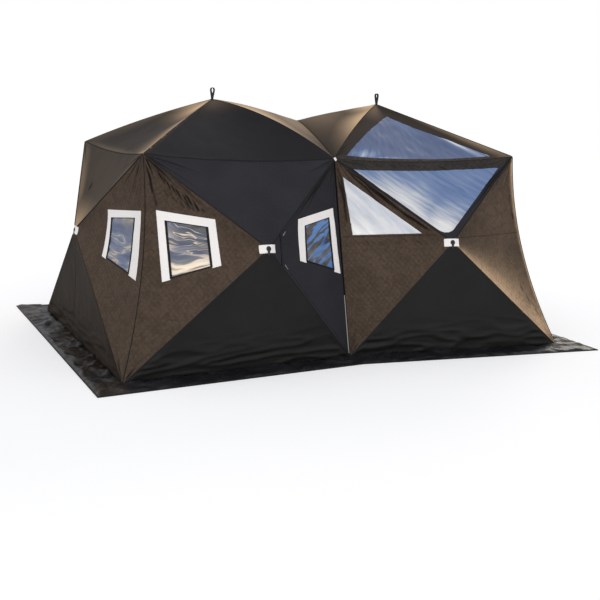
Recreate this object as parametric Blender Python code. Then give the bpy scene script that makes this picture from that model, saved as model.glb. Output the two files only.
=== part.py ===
"""Two-bay pop-up hub tent for a sauna: six walls and two roofs, each a square of insulated
cloth that one hub with four hinged poles pushes outwards, over a wide ground skirt.
Metres, +Z up, the long side along X, the front towards -Y, the ground at Z = 0."""

import math

import bmesh
import bpy
from mathutils import Matrix, Vector

# Corners of the shell
CORNER_HEIGHT = 1.70
MIDDLE_CORNER_DROP = 0.04
TOP_HALF_LENGTH = 1.74
BASE_HALF_LENGTH = 2.04
TOP_HALF_DEPTH = 0.98
BASE_HALF_DEPTH = 1.45
WAIST_SLOPE = 0.104

# Hubs: where each stands on its panel, and how far the cloth is pushed out there
LONG_WALL_HUB_FROM_WAIST = 0.889
LONG_WALL_HUB_HEIGHT = 0.908
LONG_WALL_BULGE = 0.345
END_WALL_HUB_HEIGHT = 0.96
END_WALL_BULGE = 0.20
ROOF_HUB_FROM_WAIST = 0.84
ROOF_BULGE = 0.45

# How far the cloth hangs in at the middle of each seam between two hubs
CORNER_SEAM_SAG = 0.11
EAVE_SAG = 0.045
SADDLE_RISE = 0.30

# Cloth
CLOTH = 0.004
SEAM_GAP = 0.0005
TOUCH_GAP = 0.0003
SKIRT_THICKNESS = 0.003
SKIRT_WIDTH = 0.26
SKIRT_TUCK = 0.03
SEAM_STEPS = 6

# Hub and pole hardware
HUB_DEPTH = 0.036
POLE_DEPTH = 0.020
HUB_RADIUS = 0.026
HUB_HALF_HEIGHT = 0.008
PIN_CIRCLE_RADIUS = 0.038
PIN_RADIUS = 0.0025
PRONG_THICKNESS = 0.004
KNUCKLE_WIDTH = 0.010
KNUCKLE_RADIUS = 0.007
POST_RADIUS = 0.006
COLLAR_RADIUS = 0.010
WASHER_RADIUS = 0.022
WASHER_THICKNESS = 0.003
ROD_RADIUS = 0.0055
FERRULE_RADIUS = 0.0075
FERRULE_LENGTH = 0.055
TIP_RADIUS = 0.0070
TIP_LENGTH = 0.035
TIP_GAP = 0.060
PIN_CLEARANCE = 0.0006
SIDE_CLEARANCE = 0.0003
PRONG_REACH = 0.008
SLOT_CLEARANCE = 0.0015
KNUCKLE_REACH = 0.013
KNUCKLE_NECK = 0.009
RIVET_HEAD = 0.001
OVERLAP = 0.002

# Pull straps
LOOP_HEIGHT = 0.100
LOOP_WIDTH = 0.044
LOOP_NECK = 0.025
LOOP_FOOT = 0.009
LOOP_BAND_WIDTH = 0.020
LOOP_THICKNESS = 0.003
LOOP_SHOULDER = 20
LOOP_TURN = 25
TAB_LENGTH = 0.055
TAB_WIDTH = 0.018
TAB_THICKNESS = 0.003

# Windows: corners as (distance in from the seam, distance along it from the hub's foot)
FILM = 0.0012
END_WINDOW_FRAME = ((0.56, 0.11), (0.045, 0.04), (0.085, -0.505), (0.64, -0.265))
END_WINDOW_FILM = ((0.52, 0.04), (0.145, -0.005), (0.20, -0.443), (0.57, -0.285))
FRONT_WINDOW_FRAME = ((0.065, 0.22), (0.525, 0.19), (0.605, -0.165), (0.16, -0.335))
FRONT_WINDOW_FILM = ((0.14, 0.145), (0.475, 0.125), (0.535, -0.178), (0.22, -0.30))
DOOR_WINDOW_FRAME = ((0.565, 0.25), (0.075, 0.37), (0.04, -0.195), (0.565, -0.09))
DOOR_WINDOW_FILM = ((0.475, 0.20), (0.14, 0.285), (0.12, -0.16), (0.485, -0.09))
ROOF_SKY_WINDOW = ((0.78, 0.025), (0.05, -0.63), (0.04, 0.79))
TOP_SKY_WINDOW = ((0.79, -0.025), (0.09, -0.745), (0.09, 0.68))
TOP_SKY_WINDOW_CURVE = 0.11
SIDE_SKY_WINDOW = ((0.06, 0.637), (0.105, 0.131), (0.70, 0.099))

# Door and its zip
DOOR_FROM_HUB = 0.15
DOOR_POLE_MARGIN = 0.018
DOOR_SEAM_MARGIN = 0.012
ZIP_TAPE_WIDTH = 0.020
TAPE_FLARE_LENGTH = 0.030
TAPE_FLARE_WIDTH = 0.005
SLIDER_LENGTH = 0.024
SLIDER_WIDTH = 0.014
SLIDER_HEIGHT = 0.006
SLIDER_NOSE_WIDTH = 0.010
SLIDER_START = 0.030
PULL_LENGTH = 0.030
PULL_WIDTH = 0.008
PULL_THICKNESS = 0.0018
PULL_LIFT = 0.0024

# Flue jack in the roof over the stove
JACK_SIDE = 0.28
JACK_THICKNESS = 0.003
JACK_HOLE_RADIUS = 0.050
JACK_CLEARANCE = 0.012
JACK_FROM_HUB = 0.48

# A panel's seams in order. On a roof "front" is the front eave and "back" the back one. On a wall
# "front" is the eave, "back" the foot, "waist" the seam next to the waist or the tent's back.
SEAMS = ("front", "waist", "back", "outer")
DOOR_SEAM = "waist"
JACK_SEAM = "back"

PIN_SIDES = 8
POST_SIDES = 12
POLE_SIDES = 8
JACK_HOLE_SIDES = 20
FACET_TOOL_REACH = 0.15

BASE_LIFT = SKIRT_THICKNESS + TOUCH_GAP
INSIDE = Vector((0.0, 0.0, CORNER_HEIGHT / 2))
BASE_SPREAD = BASE_HALF_LENGTH - TOP_HALF_LENGTH
WALL_LEAN = (BASE_HALF_DEPTH - TOP_HALF_DEPTH - WAIST_SLOPE * BASE_SPREAD) / CORNER_HEIGHT
END_LEAN = BASE_SPREAD / CORNER_HEIGHT


def material(name, colour, roughness, metallic=0.0, alpha=1.0):
    """A Principled material in one colour."""
    made = bpy.data.materials.new(name)
    made.use_nodes = True
    shader = made.node_tree.nodes["Principled BSDF"]
    shader.inputs["Base Color"].default_value = (*colour, 1.0)
    shader.inputs["Roughness"].default_value = roughness
    shader.inputs["Metallic"].default_value = metallic
    shader.inputs["Alpha"].default_value = alpha
    return made


def finish(name, mesh_maker, finish_material, place=None, smooth=False):
    """Makes an object from a filled bmesh, with its faces pointing out."""
    bmesh.ops.recalc_face_normals(mesh_maker, faces=mesh_maker.faces)
    mesh = bpy.data.meshes.new(name)
    mesh_maker.to_mesh(mesh)
    mesh_maker.free()
    if smooth:
        mesh.shade_smooth()
        mesh.set_sharp_from_angle(angle=math.radians(35))
    mesh.materials.append(finish_material)
    made = bpy.data.objects.new(name, mesh)
    bpy.context.scene.collection.objects.link(made)
    if place is not None:
        made.matrix_world = place
    return made


def hide_tool(tool):
    """A tool shapes another object and isn't part of the tent itself."""
    tool.hide_render = True
    tool.display_type = "WIRE"
    return tool


def combine(target, tool, operation):
    """Adds, cuts or keeps what a hidden tool covers."""
    hide_tool(tool)
    step = target.modifiers.new(f"{operation.title()} {tool.name}", "BOOLEAN")
    step.operation = operation
    step.object = tool


def outline_prism(outline, low, high, hole=()):
    """A flat outline of (x, y) points, with or without a hole, drawn out from z = low to high."""
    shape = bmesh.new()
    edges = []
    for ring in (outline, hole):
        points = [shape.verts.new((x, y, low)) for x, y in ring]
        edges += [shape.edges.new((points[i - 1], points[i])) for i in range(len(points))]
    filled = bmesh.ops.triangle_fill(shape, edges=edges, use_beauty=True)
    faces = [part for part in filled["geom"] if isinstance(part, bmesh.types.BMFace)]
    drawn = bmesh.ops.extrude_face_region(shape, geom=faces)
    risen = [part for part in drawn["geom"] if isinstance(part, bmesh.types.BMVert)]
    bmesh.ops.translate(shape, verts=risen, vec=(0, 0, high - low))
    return shape


def turned(profile, steps):
    """A profile of (radius, z) points turned about Z into a closed solid."""
    shape = bmesh.new()
    points = [shape.verts.new((radius, 0, z)) for radius, z in profile]
    edges = [shape.edges.new(pair) for pair in zip(points, points[1:])]
    bmesh.ops.spin(
        shape, geom=points + edges, axis=(0, 0, 1), cent=(0, 0, 0),
        angle=math.tau, steps=steps, use_merge=True,
    )
    bmesh.ops.remove_doubles(shape, verts=shape.verts, dist=1e-6)
    return shape


def arc(radius, start, end, steps, centre=(0.0, 0.0)):
    """Points along an arc, with angles in degrees."""
    angles = [math.radians(start + (end - start) * i / steps) for i in range(steps + 1)]
    return [(centre[0] + radius * math.cos(a), centre[1] + radius * math.sin(a)) for a in angles]


def rounded_corner(outline, index, radius, steps):
    """An outline with one of its corners turned into an arc."""
    points = [Vector(point) for point in outline]
    tip = points[index]
    before = (points[index - 1] - tip).normalized()
    after = (points[(index + 1) % len(points)] - tip).normalized()
    half_angle = before.angle(after) / 2
    centre = tip + (before + after).normalized() * (radius / math.sin(half_angle))
    start = tip + before * (radius / math.tan(half_angle)) - centre
    end = tip + after * (radius / math.tan(half_angle)) - centre
    curve = []
    for step in range(steps + 1):
        # The arc is short of half a turn, so the chord's points pushed out to the radius lie on it.
        curve.append(tuple(centre + start.lerp(end, step / steps).normalized() * radius))
    return [*outline[:index], *curve, *outline[index + 1:]]


def inset_outline(outline, insets):
    """Moves each side of a convex outline inwards; side i runs from point i to the next."""
    points = [Vector(point) for point in outline]
    middle = sum(points, Vector((0.0, 0.0))) / len(points)
    sides = []
    for i, start in enumerate(points):
        along = (points[(i + 1) % len(points)] - start).normalized()
        inwards = Vector((-along.y, along.x))
        if inwards.dot(middle - start) < 0:
            inwards.negate()
        sides.append((start + inwards * insets[i], along))
    moved = []
    for i in range(len(points)):
        (before, before_along), (after, after_along) = sides[i - 1], sides[i]
        cross = before_along.x * after_along.y - before_along.y * after_along.x
        gap = after - before
        reach = (gap.x * after_along.y - gap.y * after_along.x) / cross
        moved.append(tuple(before + before_along * reach))
    return moved


def long_wall_depth(from_waist, height):
    """Distance of a long wall's flat corner plane from the middle line of the tent."""
    top = TOP_HALF_DEPTH - WAIST_SLOPE * (TOP_HALF_LENGTH - from_waist)
    return top + WALL_LEAN * (CORNER_HEIGHT - height)


def corner(side, face, at_top):
    """A shell corner: side is -1 left, 0 waist or 1 right, and face is -1 front or 1 back."""
    half_length = TOP_HALF_LENGTH if at_top else BASE_HALF_LENGTH
    height = CORNER_HEIGHT if at_top else BASE_LIFT
    if at_top and side == 0:
        height -= MIDDLE_CORNER_DROP
    from_waist = abs(side) * half_length
    return Vector((side * half_length, face * long_wall_depth(from_waist, height), height))


def inner_way(point):
    """Which way cloth thickness goes at a corner, so that neighbouring panels meet in a mitre."""
    across = 0.0 if abs(point.x) < 1e-6 else -math.copysign(1.0, point.x)
    down = -1.0 if point.z > CORNER_HEIGHT / 2 else 0.0
    return Vector((across, -math.copysign(1.0, point.y), down))


def seam_sag(start, end):
    """How the middle of the seam between two corners leaves the straight line."""
    if abs(start.x) < 1e-6 and abs(end.x) < 1e-6:
        at_saddle = start.z > CORNER_HEIGHT / 2 and end.z > CORNER_HEIGHT / 2
        return Vector((0, 0, SADDLE_RISE)) if at_saddle else Vector((0, 0, 0))
    if start.z < CORNER_HEIGHT / 2 and end.z < CORNER_HEIGHT / 2:
        return Vector((0, 0, 0))
    middle = (start + end) / 2
    if abs(start.z - end.z) < CORNER_HEIGHT / 2:
        at_end = abs(start.x - end.x) < 1e-6
        inwards = Vector((-middle.x, 0, 0)) if at_end else Vector((0, -middle.y, 0))
        return (inwards.normalized() + Vector((0, 0, -2))).normalized() * EAVE_SAG
    return Vector((-middle.x, -middle.y, 0)).normalized() * CORNER_SEAM_SAG


def make_panel(name, corners, corner_names, foot, bulge):
    """A panel: its corners in order, its outward normal, and the point where its hub holds it out."""
    normal = (corners[2] - corners[0]).cross(corners[3] - corners[1]).normalized()
    if normal.dot(foot - INSIDE) < 0:
        normal.negate()
    return {
        "name": name,
        "corners": corners,
        "corner_names": corner_names,
        "normal": normal,
        "apex": foot + normal * bulge,
        "is_roof": min(corner.z for corner in corners) > CORNER_HEIGHT / 2,
    }


def wall_panel(name, start, end, end_names, foot, bulge):
    """A wall between two shell corners, each given as (side, face)."""
    corners = [corner(*start, True), corner(*end, True), corner(*end, False), corner(*start, False)]
    first, second = end_names
    names = [f"upper_{first}", f"upper_{second}", f"lower_{second}", f"lower_{first}"]
    return make_panel(name, corners, names, foot, bulge)


def all_panels():
    """The six walls and the two roofs."""
    panels = []
    for face, face_name in ((-1, "front"), (1, "back")):
        for side, side_name in ((-1, "left"), (1, "right")):
            depth = long_wall_depth(LONG_WALL_HUB_FROM_WAIST, LONG_WALL_HUB_HEIGHT)
            foot = Vector((side * LONG_WALL_HUB_FROM_WAIST, face * depth, LONG_WALL_HUB_HEIGHT))
            name = f"{face_name}_{side_name}"
            names = ("outer", "waist")
            panels.append(wall_panel(name, (side, face), (0, face), names, foot, LONG_WALL_BULGE))
    for side, side_name in ((-1, "left"), (1, "right")):
        reach = TOP_HALF_LENGTH + END_LEAN * (CORNER_HEIGHT - END_WALL_HUB_HEIGHT)
        foot = Vector((side * reach, 0, END_WALL_HUB_HEIGHT))
        name = f"end_{side_name}"
        names = ("front", "back")
        panels.append(wall_panel(name, (side, -1), (side, 1), names, foot, END_WALL_BULGE))
        ring = [corner(side, -1, True), corner(0, -1, True), corner(0, 1, True), corner(side, 1, True)]
        names = ["front_outer", "front_waist", "back_waist", "back_outer"]
        drop = MIDDLE_CORNER_DROP * (1 - ROOF_HUB_FROM_WAIST / TOP_HALF_LENGTH)
        foot = Vector((side * ROOF_HUB_FROM_WAIST, 0, CORNER_HEIGHT - drop))
        panels.append(make_panel(f"roof_{side_name}", ring, names, foot, ROOF_BULGE))
    return panels


def border(panel, depth):
    """Points round a panel's border at a depth below its outer face, four seams in turn."""
    apex = panel["apex"] - panel["normal"] * depth
    points = []
    for i, start in enumerate(panel["corners"]):
        end = panel["corners"][(i + 1) % 4]
        sag = seam_sag(start, end)
        inner_start, inner_end = start + inner_way(start) * depth, end + inner_way(end) * depth
        for step in range(SEAM_STEPS):
            t = step / SEAM_STEPS
            point = inner_start.lerp(inner_end, t) + sag * (4 * t * (1 - t))
            points.append(point + (apex - point).normalized() * SEAM_GAP / 2)
    return points


def cloth(panel, outer_depth, inner_depth):
    """A panel's cloth: straight from the hub to each seam, with a round hole for the hub's post."""
    shape = bmesh.new()
    loops = []
    for depth in (outer_depth, inner_depth):
        apex = panel["apex"] - panel["normal"] * depth
        rim, hole = [], []
        for point in border(panel, depth):
            ray = point - apex
            flat = (ray - panel["normal"] * ray.dot(panel["normal"])).length
            rim.append(shape.verts.new(point))
            hole.append(shape.verts.new(apex + ray * ((POST_RADIUS + SEAM_GAP) / flat)))
        loops += [rim, hole]
    outer_rim, outer_hole, inner_rim, inner_hole = loops
    count = len(outer_rim)
    for i in range(count):
        j = (i + 1) % count
        for first, second in (
            (outer_rim, outer_hole), (outer_hole, inner_hole),
            (inner_hole, inner_rim), (inner_rim, outer_rim),
        ):
            shape.faces.new((first[i], first[j], second[j], second[i]))
    return shape


def axes_frame(x_axis, y_axis, z_axis, origin):
    """A placing matrix from three axes and an origin."""
    frame = Matrix.Identity(4)
    for column, axis in enumerate((x_axis, y_axis, z_axis, origin)):
        for row in range(3):
            frame[row][column] = axis[row]
    return frame


def seam_ends(panel, seam):
    """The two corners that a seam joins."""
    first = SEAMS.index(seam)
    return panel["corners"][first], panel["corners"][(first + 1) % 4]


def facet_frame(panel, seam):
    """A frame on one facet: origin at the hub, X square to the seam, Y along it, Z outwards.
    Y points up, or to +X where the seam is level, so some of these frames are left-handed."""
    start, end = seam_ends(panel, seam)
    along = (end - start).normalized()
    if along.z < -0.5 or (abs(along.z) < 0.5 and along.x < 0):
        along.negate()
    reach = start - panel["apex"]
    out = (reach - along * reach.dot(along)).normalized()
    facing = out.cross(along)
    if facing.dot(panel["normal"]) < 0:
        facing.negate()
    return axes_frame(out, along, facing, panel["apex"])


def facet_triangle(panel, seam):
    """A facet's corners in its own frame: the hub, then the seam's lower or left end, then the other."""
    to_frame = facet_frame(panel, seam).inverted()
    ends = [to_frame @ end for end in seam_ends(panel, seam)]
    ends.sort(key=lambda end: end.y)
    return [(0.0, 0.0), *((end.x, end.y) for end in ends)]


def seam_reach(panel, seam):
    """How far from the hub a facet's seam is where the sag brings it closest."""
    to_frame = facet_frame(panel, seam).inverted()
    first = SEAMS.index(seam) * SEAM_STEPS
    ring = border(panel, 0)
    points = [ring[(first + step) % len(ring)] for step in range(SEAM_STEPS + 1)]
    return min((to_frame @ point).x for point in points)


def from_seam(panel, seam, outline):
    """Turns (distance in from the seam, distance along it) into points in the facet's frame."""
    reach = seam_reach(panel, seam)
    return [(reach - inwards, along) for inwards, along in outline]


def facet_tool(name, panel, seam, outline):
    """A prism that stands through one facet and takes in whatever cloth lies inside the outline."""
    shape = outline_prism(outline, -FACET_TOOL_REACH, FACET_TOOL_REACH)
    bmesh.ops.transform(shape, matrix=facet_frame(panel, seam), verts=shape.verts)
    return hide_tool(finish(name, shape, TOOL_MATERIAL))


def cloth_patch(name, panel, seam, outline, outer_depth, inner_depth, patch_material):
    """The part of a panel's cloth that lies inside an outline on one facet."""
    patch = finish(name, cloth(panel, outer_depth, inner_depth), patch_material)
    combine(patch, facet_tool(f"{name}_outline", panel, seam, outline), "INTERSECT")
    return patch


def cut_opening(target, panel, seam, outline):
    """Cuts an outline right through one facet of a panel."""
    name = f"{target.name}_opening_{len(target.modifiers)}"
    combine(target, facet_tool(name, panel, seam, outline), "DIFFERENCE")


def film_window(name, cover, panel, seam, outline, film_material):
    """A clear film sewn into a panel: the cover's opening and the film in it."""
    cut_opening(cover, panel, seam, outline)
    film = inset_outline(outline, [TOUCH_GAP] * len(outline))
    side = (CLOTH - FILM) / 2
    return cloth_patch(name, panel, seam, film, side, CLOTH - side, film_material)


def framed_window(name, cover, panel, seam, frame_outline, film_outline, frame_material):
    """A window with a cloth frame, whose film is thinner than the frame on both sides."""
    cut_opening(cover, panel, seam, frame_outline)
    outline = inset_outline(frame_outline, [TOUCH_GAP] * len(frame_outline))
    window = cloth_patch(name, panel, seam, outline, 0, CLOTH, frame_material)
    side = (CLOTH - FILM) / 2
    for where, outer, inner in (("outside", -CLOTH, side), ("inside", CLOTH - side, 2 * CLOTH)):
        recess = cloth_patch(f"{name}_{where}", panel, seam, film_outline, outer, inner, TOOL_MATERIAL)
        combine(window, recess, "DIFFERENCE")
    return window


def slopes(panel):
    """The gentlest and the steepest fall of a panel's cloth away from its hub."""
    falls = []
    for point in border(panel, 0):
        ray = point - panel["apex"]
        down = -ray.dot(panel["normal"])
        falls.append(down / math.sqrt(ray.length_squared - down * down))
    return min(falls), max(falls)


def hub_frame(panel):
    """A hub's frame: origin in the plane of its pins, Y up the wall or to the back, Z outwards."""
    normal = panel["normal"]
    up = Vector((0, 1, 0)) if panel["is_roof"] else Vector((0, 0, 1))
    across = up.cross(normal).normalized()
    return axes_frame(across, normal.cross(across), normal, panel["apex"] - normal * HUB_DEPTH)


def pole_target(panel, index):
    """The point near a corner that a pole aims at, just inside the cloth."""
    return panel["corners"][index] - panel["normal"] * POLE_DEPTH


def pole_angles(panel):
    """The directions of a hub's four poles, in the hub's own frame."""
    to_hub = hub_frame(panel).inverted()
    targets = [to_hub @ pole_target(panel, index) for index in range(4)]
    return [math.atan2(target.y, target.x) for target in targets]


def turned_point(point, angle):
    """A point turned about the origin."""
    x, y = point
    return (x * math.cos(angle) - y * math.sin(angle), x * math.sin(angle) + y * math.cos(angle))


def hub_outline(angles):
    """A round hub with a forked bracket towards each pole."""
    slot_side = KNUCKLE_WIDTH / 2 + SIDE_CLEARANCE
    prong_side = slot_side + PRONG_THICKNESS
    slot_floor = PIN_CIRCLE_RADIUS - KNUCKLE_RADIUS - SLOT_CLEARANCE
    reach = PIN_CIRCLE_RADIUS + PRONG_REACH
    chamfer = PRONG_THICKNESS / 3
    root = math.sqrt(HUB_RADIUS ** 2 - prong_side ** 2)
    spread = math.asin(prong_side / HUB_RADIUS)
    half_fork = [
        (root, prong_side), (reach - chamfer, prong_side), (reach, prong_side - chamfer),
        (reach, slot_side), (slot_floor, slot_side),
    ]
    fork = [(x, -y) for x, y in half_fork] + half_fork[::-1]
    ordered = sorted(angles)
    outline = []
    for i, angle in enumerate(ordered):
        following = ordered[(i + 1) % 4] + (math.tau if i == 3 else 0)
        outline += [turned_point(point, angle) for point in fork]
        start, end = math.degrees(angle + spread), math.degrees(following - spread)
        outline += arc(HUB_RADIUS, start, end, 2)[1:-1]
    return outline


def add_pins(shape, angles):
    """The four hinge pins, each across its fork, with a rivet head standing out at both ends."""
    half_length = KNUCKLE_WIDTH / 2 + SIDE_CLEARANCE + PRONG_THICKNESS + RIVET_HEAD
    for angle in angles:
        place = (
            Matrix.Rotation(angle, 4, "Z")
            @ Matrix.Translation((PIN_CIRCLE_RADIUS, 0, 0))
            @ Matrix.Rotation(math.pi / 2, 4, "X")
        )
        bmesh.ops.create_cone(
            shape, cap_ends=True, segments=PIN_SIDES, radius1=PIN_RADIUS, radius2=PIN_RADIUS,
            depth=2 * half_length, matrix=place,
        )


def post_profile(panel):
    """The post through the cloth: a collar under it, a coned washer over it, seen as (radius, z)."""
    gentle, steep = slopes(panel)
    collar_top = HUB_DEPTH - CLOTH - TOUCH_GAP - COLLAR_RADIUS * steep
    washer_seat = HUB_DEPTH + TOUCH_GAP - POST_RADIUS * gentle
    washer_rim = HUB_DEPTH + TOUCH_GAP - WASHER_RADIUS * gentle
    crown = washer_seat + WASHER_THICKNESS
    return [
        (0, HUB_HALF_HEIGHT - OVERLAP), (COLLAR_RADIUS, HUB_HALF_HEIGHT - OVERLAP),
        (COLLAR_RADIUS, collar_top), (POST_RADIUS, collar_top),
        (POST_RADIUS, washer_seat), (WASHER_RADIUS, washer_rim),
        (WASHER_RADIUS, washer_rim + WASHER_THICKNESS / 2), (COLLAR_RADIUS, crown), (0, crown),
    ]


def strap_loop(place, crown):
    """The roof's pull strap: a band bent into a loop that narrows down to the hub."""
    outer_radius = LOOP_WIDTH / 2
    centre = (0.0, LOOP_HEIGHT - outer_radius)
    sweep = (-LOOP_SHOULDER, 180 + LOOP_SHOULDER, 8)
    outer = [(-LOOP_FOOT / 2, 0.0), (LOOP_FOOT / 2, 0.0), *arc(outer_radius, *sweep, centre)]
    inner = [(0.0, LOOP_NECK), *arc(outer_radius - LOOP_THICKNESS, *sweep, centre)]
    shape = outline_prism(outer, -LOOP_BAND_WIDTH / 2, LOOP_BAND_WIDTH / 2, inner)
    turn = Matrix.Rotation(math.radians(LOOP_TURN), 4, "Z")
    upright = Matrix.Rotation(math.pi / 2, 4, "X")
    stand = Matrix.Translation((0, 0, crown - OVERLAP / 2)) @ turn @ upright
    bmesh.ops.transform(shape, matrix=place @ stand, verts=shape.verts)
    return shape


def strap_tab(panel, place, crown):
    """A wall's pull strap: a flat tab from the middle of the hub, which hangs straight down, or
    lies along the wall below it where that stands further out."""
    half = TAB_WIDTH / 2
    outline = [*arc(half, 180, 360, 6, (0, half - TAB_LENGTH)), *arc(half, 0, 180, 6)]
    shape = outline_prism(outline, 0, TAB_THICKNESS)
    across = place.to_3x3() @ Vector((1, 0, 0))
    outwards = across.cross(Vector((0, 0, 1)))
    foot, other_foot = seam_ends(panel, "back")
    wall = (foot + other_foot) / 2 - panel["apex"]
    spread = max(0.0, wall.dot(outwards) / -wall.z)
    up = (Vector((0, 0, 1)) - outwards * spread).normalized()
    hang = axes_frame(across, up, across.cross(up), place @ Vector((0, 0, crown - OVERLAP / 2)))
    bmesh.ops.transform(shape, matrix=hang, verts=shape.verts)
    return shape


def make_hub(panel):
    """A hub with its four forks, pins, post, washer and pull strap."""
    name = f"hub_{panel['name']}"
    place = hub_frame(panel)
    angles = pole_angles(panel)
    body = outline_prism(hub_outline(angles), -HUB_HALF_HEIGHT, HUB_HALF_HEIGHT)
    hub = finish(name, body, NYLON, place)
    pins = bmesh.new()
    add_pins(pins, angles)
    combine(hub, finish(f"{name}_pins", pins, NYLON, place), "UNION")
    profile = post_profile(panel)
    crown = profile[-1][1]
    combine(hub, finish(f"{name}_post", turned(profile, POST_SIDES), NYLON, place), "UNION")
    strap = strap_loop(place, crown) if panel["is_roof"] else strap_tab(panel, place, crown)
    combine(hub, finish(f"{name}_strap", strap, NYLON), "UNION")
    return hub


def knuckle_outline():
    """The flat end of a pole, seen along its pin: a round eye that narrows into the ferrule."""
    half_neck = KNUCKLE_NECK / 2
    return [
        *arc(KNUCKLE_RADIUS, 150, 390, 7),
        (half_neck, KNUCKLE_REACH + OVERLAP), (-half_neck, KNUCKLE_REACH + OVERLAP),
    ]


def make_pole(panel, index, angle, hub):
    """A pole with a flat eye on its hub's pin, a ferrule, a thin rod and a round tip."""
    place = hub_frame(panel)
    radial = place.to_3x3() @ Vector((math.cos(angle), math.sin(angle), 0))
    pin = place.translation + radial * PIN_CIRCLE_RADIUS
    reach = pole_target(panel, index) - pin
    along = reach.normalized()
    axis = radial.cross(panel["normal"])
    stand = axes_frame(axis, along.cross(axis), along, pin)
    length = reach.length - TIP_GAP
    ferrule_end = KNUCKLE_REACH + FERRULE_LENGTH
    profile = [
        (0, KNUCKLE_REACH), (FERRULE_RADIUS, KNUCKLE_REACH), (FERRULE_RADIUS, ferrule_end),
        (ROD_RADIUS, ferrule_end), (ROD_RADIUS, length - TIP_LENGTH),
        (TIP_RADIUS, length - TIP_LENGTH), (TIP_RADIUS, length - TIP_RADIUS / 2),
        (TIP_RADIUS / 2, length), (0, length),
    ]
    name = f"pole_{panel['name']}_{panel['corner_names'][index]}"
    pole = finish(name, turned(profile, POLE_SIDES), FIBREGLASS, stand, smooth=True)
    eye_radius = PIN_RADIUS + PIN_CLEARANCE
    eye = arc(eye_radius, 0, 360 - 360 / PIN_SIDES, PIN_SIDES - 1)
    knuckle = outline_prism(knuckle_outline(), -KNUCKLE_WIDTH / 2, KNUCKLE_WIDTH / 2, eye)
    # The outline is drawn across the pin, so its width becomes Y and its length becomes Z.
    turn = Matrix(((0, 0, 1, 0), (1, 0, 0, 0), (0, 1, 0, 0), (0, 0, 0, 1)))
    bmesh.ops.transform(knuckle, matrix=turn, verts=knuckle.verts)
    combine(pole, finish(f"{name}_knuckle", knuckle, FIBREGLASS, stand), "UNION")
    pole.parent = hub
    pole.matrix_parent_inverse = place.inverted()
    return pole


def door_outlines(panel):
    """The door's nested outlines: the opening in the wall, the zip tape's two edges, the door."""
    hub, low, high = facet_triangle(panel, DOOR_SEAM)
    share = DOOR_FROM_HUB / low[0]
    facet = [
        (DOOR_FROM_HUB, low[1] * share), low, high, (DOOR_FROM_HUB, high[1] * share),
    ]
    pole_side, seam_side, hub_side = DOOR_POLE_MARGIN, DOOR_SEAM_MARGIN, 0.0
    rings = []
    for step, seam_step in ((0, 0), (TOUCH_GAP, TOUCH_GAP), (ZIP_TAPE_WIDTH, 0), (TOUCH_GAP, 0)):
        pole_side, seam_side, hub_side = pole_side + step, seam_side + seam_step, hub_side + step
        rings.append(inset_outline(facet, [pole_side, seam_side, pole_side, hub_side]))
    return rings


def flared_end(hub_end, seam_end, side):
    """The tape's inner edge where the door hinges: it draws back from the door, whose inner face
    swings past it there. Side is 1 on the upper edge and -1 on the lower."""
    start, end = Vector(hub_end), Vector(seam_end)
    turn = end + (start - end).normalized() * TAPE_FLARE_LENGTH
    return [tuple(turn), (end.x, end.y + side * TAPE_FLARE_WIDTH)]


def make_door(panel, cover):
    """The door in the facet beside the waist: a zip tape round three sides, and the door panel."""
    frame = facet_frame(panel, DOOR_SEAM)
    opening, tape_outer, tape_inner, door_edge = door_outlines(panel)
    cut_opening(cover, panel, DOOR_SEAM, opening)
    seam_line = facet_triangle(panel, DOOR_SEAM)[1][0]

    low_end = flared_end(tape_inner[0], tape_inner[1], -1)
    high_end = flared_end(tape_inner[3], tape_inner[2], 1)
    tape_outline = [*tape_outer[:2], *low_end[::-1], tape_inner[0], tape_inner[3], *high_end]
    tape_outline += tape_outer[2:]
    on_seam = frame @ Matrix.Translation((seam_line, 0, 0))
    hinged_cloth("door_zip_tape", tape_outline, on_seam, seam_line, WEBBING)

    hinge_line = seam_line - DOOR_SEAM_MARGIN
    on_hinge = frame @ Matrix.Translation((hinge_line, 0, 0))
    door = hinged_cloth("door_panel", door_edge, on_hinge, hinge_line, CHARCOAL_CLOTH)
    frame_outline = from_seam(panel, DOOR_SEAM, DOOR_WINDOW_FRAME)
    cut_opening(door, panel, DOOR_SEAM, frame_outline)

    pane_outline = inset_outline(frame_outline, [TOUCH_GAP] * 4)
    pane = hinged_cloth("window_door", pane_outline, on_hinge, hinge_line, WINDOW_FRAME)
    side = (CLOTH - FILM) / 2
    film_outline = from_seam(panel, DOOR_SEAM, DOOR_WINDOW_FILM)
    for where, low, high in (("outside", -side, CLOTH), ("inside", -2 * CLOTH, side - CLOTH)):
        recess = outline_prism(film_outline, low, high)
        bmesh.ops.transform(recess, matrix=frame, verts=recess.verts)
        combine(pane, finish(f"window_door_{where}", recess, TOOL_MATERIAL), "DIFFERENCE")
    pane.parent = door
    pane.matrix_parent_inverse = placed(on_hinge).inverted()
    make_sliders(frame, tape_outer, tape_inner)


def placed(frame):
    """A right-handed placing matrix with the same origin, Y and Z as a facet's frame."""
    y_axis, z_axis = frame.col[1].xyz, frame.col[2].xyz
    return axes_frame(y_axis.cross(z_axis), y_axis, z_axis, frame.translation)


def hinged_cloth(name, outline, hinge_frame, line, cloth_material):
    """Flat cloth in the door's facet, whose origin lies on its hinge line on the outer face."""
    shape = outline_prism([(x - line, y) for x, y in outline], -CLOTH, 0)
    place = placed(hinge_frame)
    bmesh.ops.transform(shape, matrix=place.inverted() @ hinge_frame, verts=shape.verts)
    return finish(name, shape, cloth_material, place)


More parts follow.
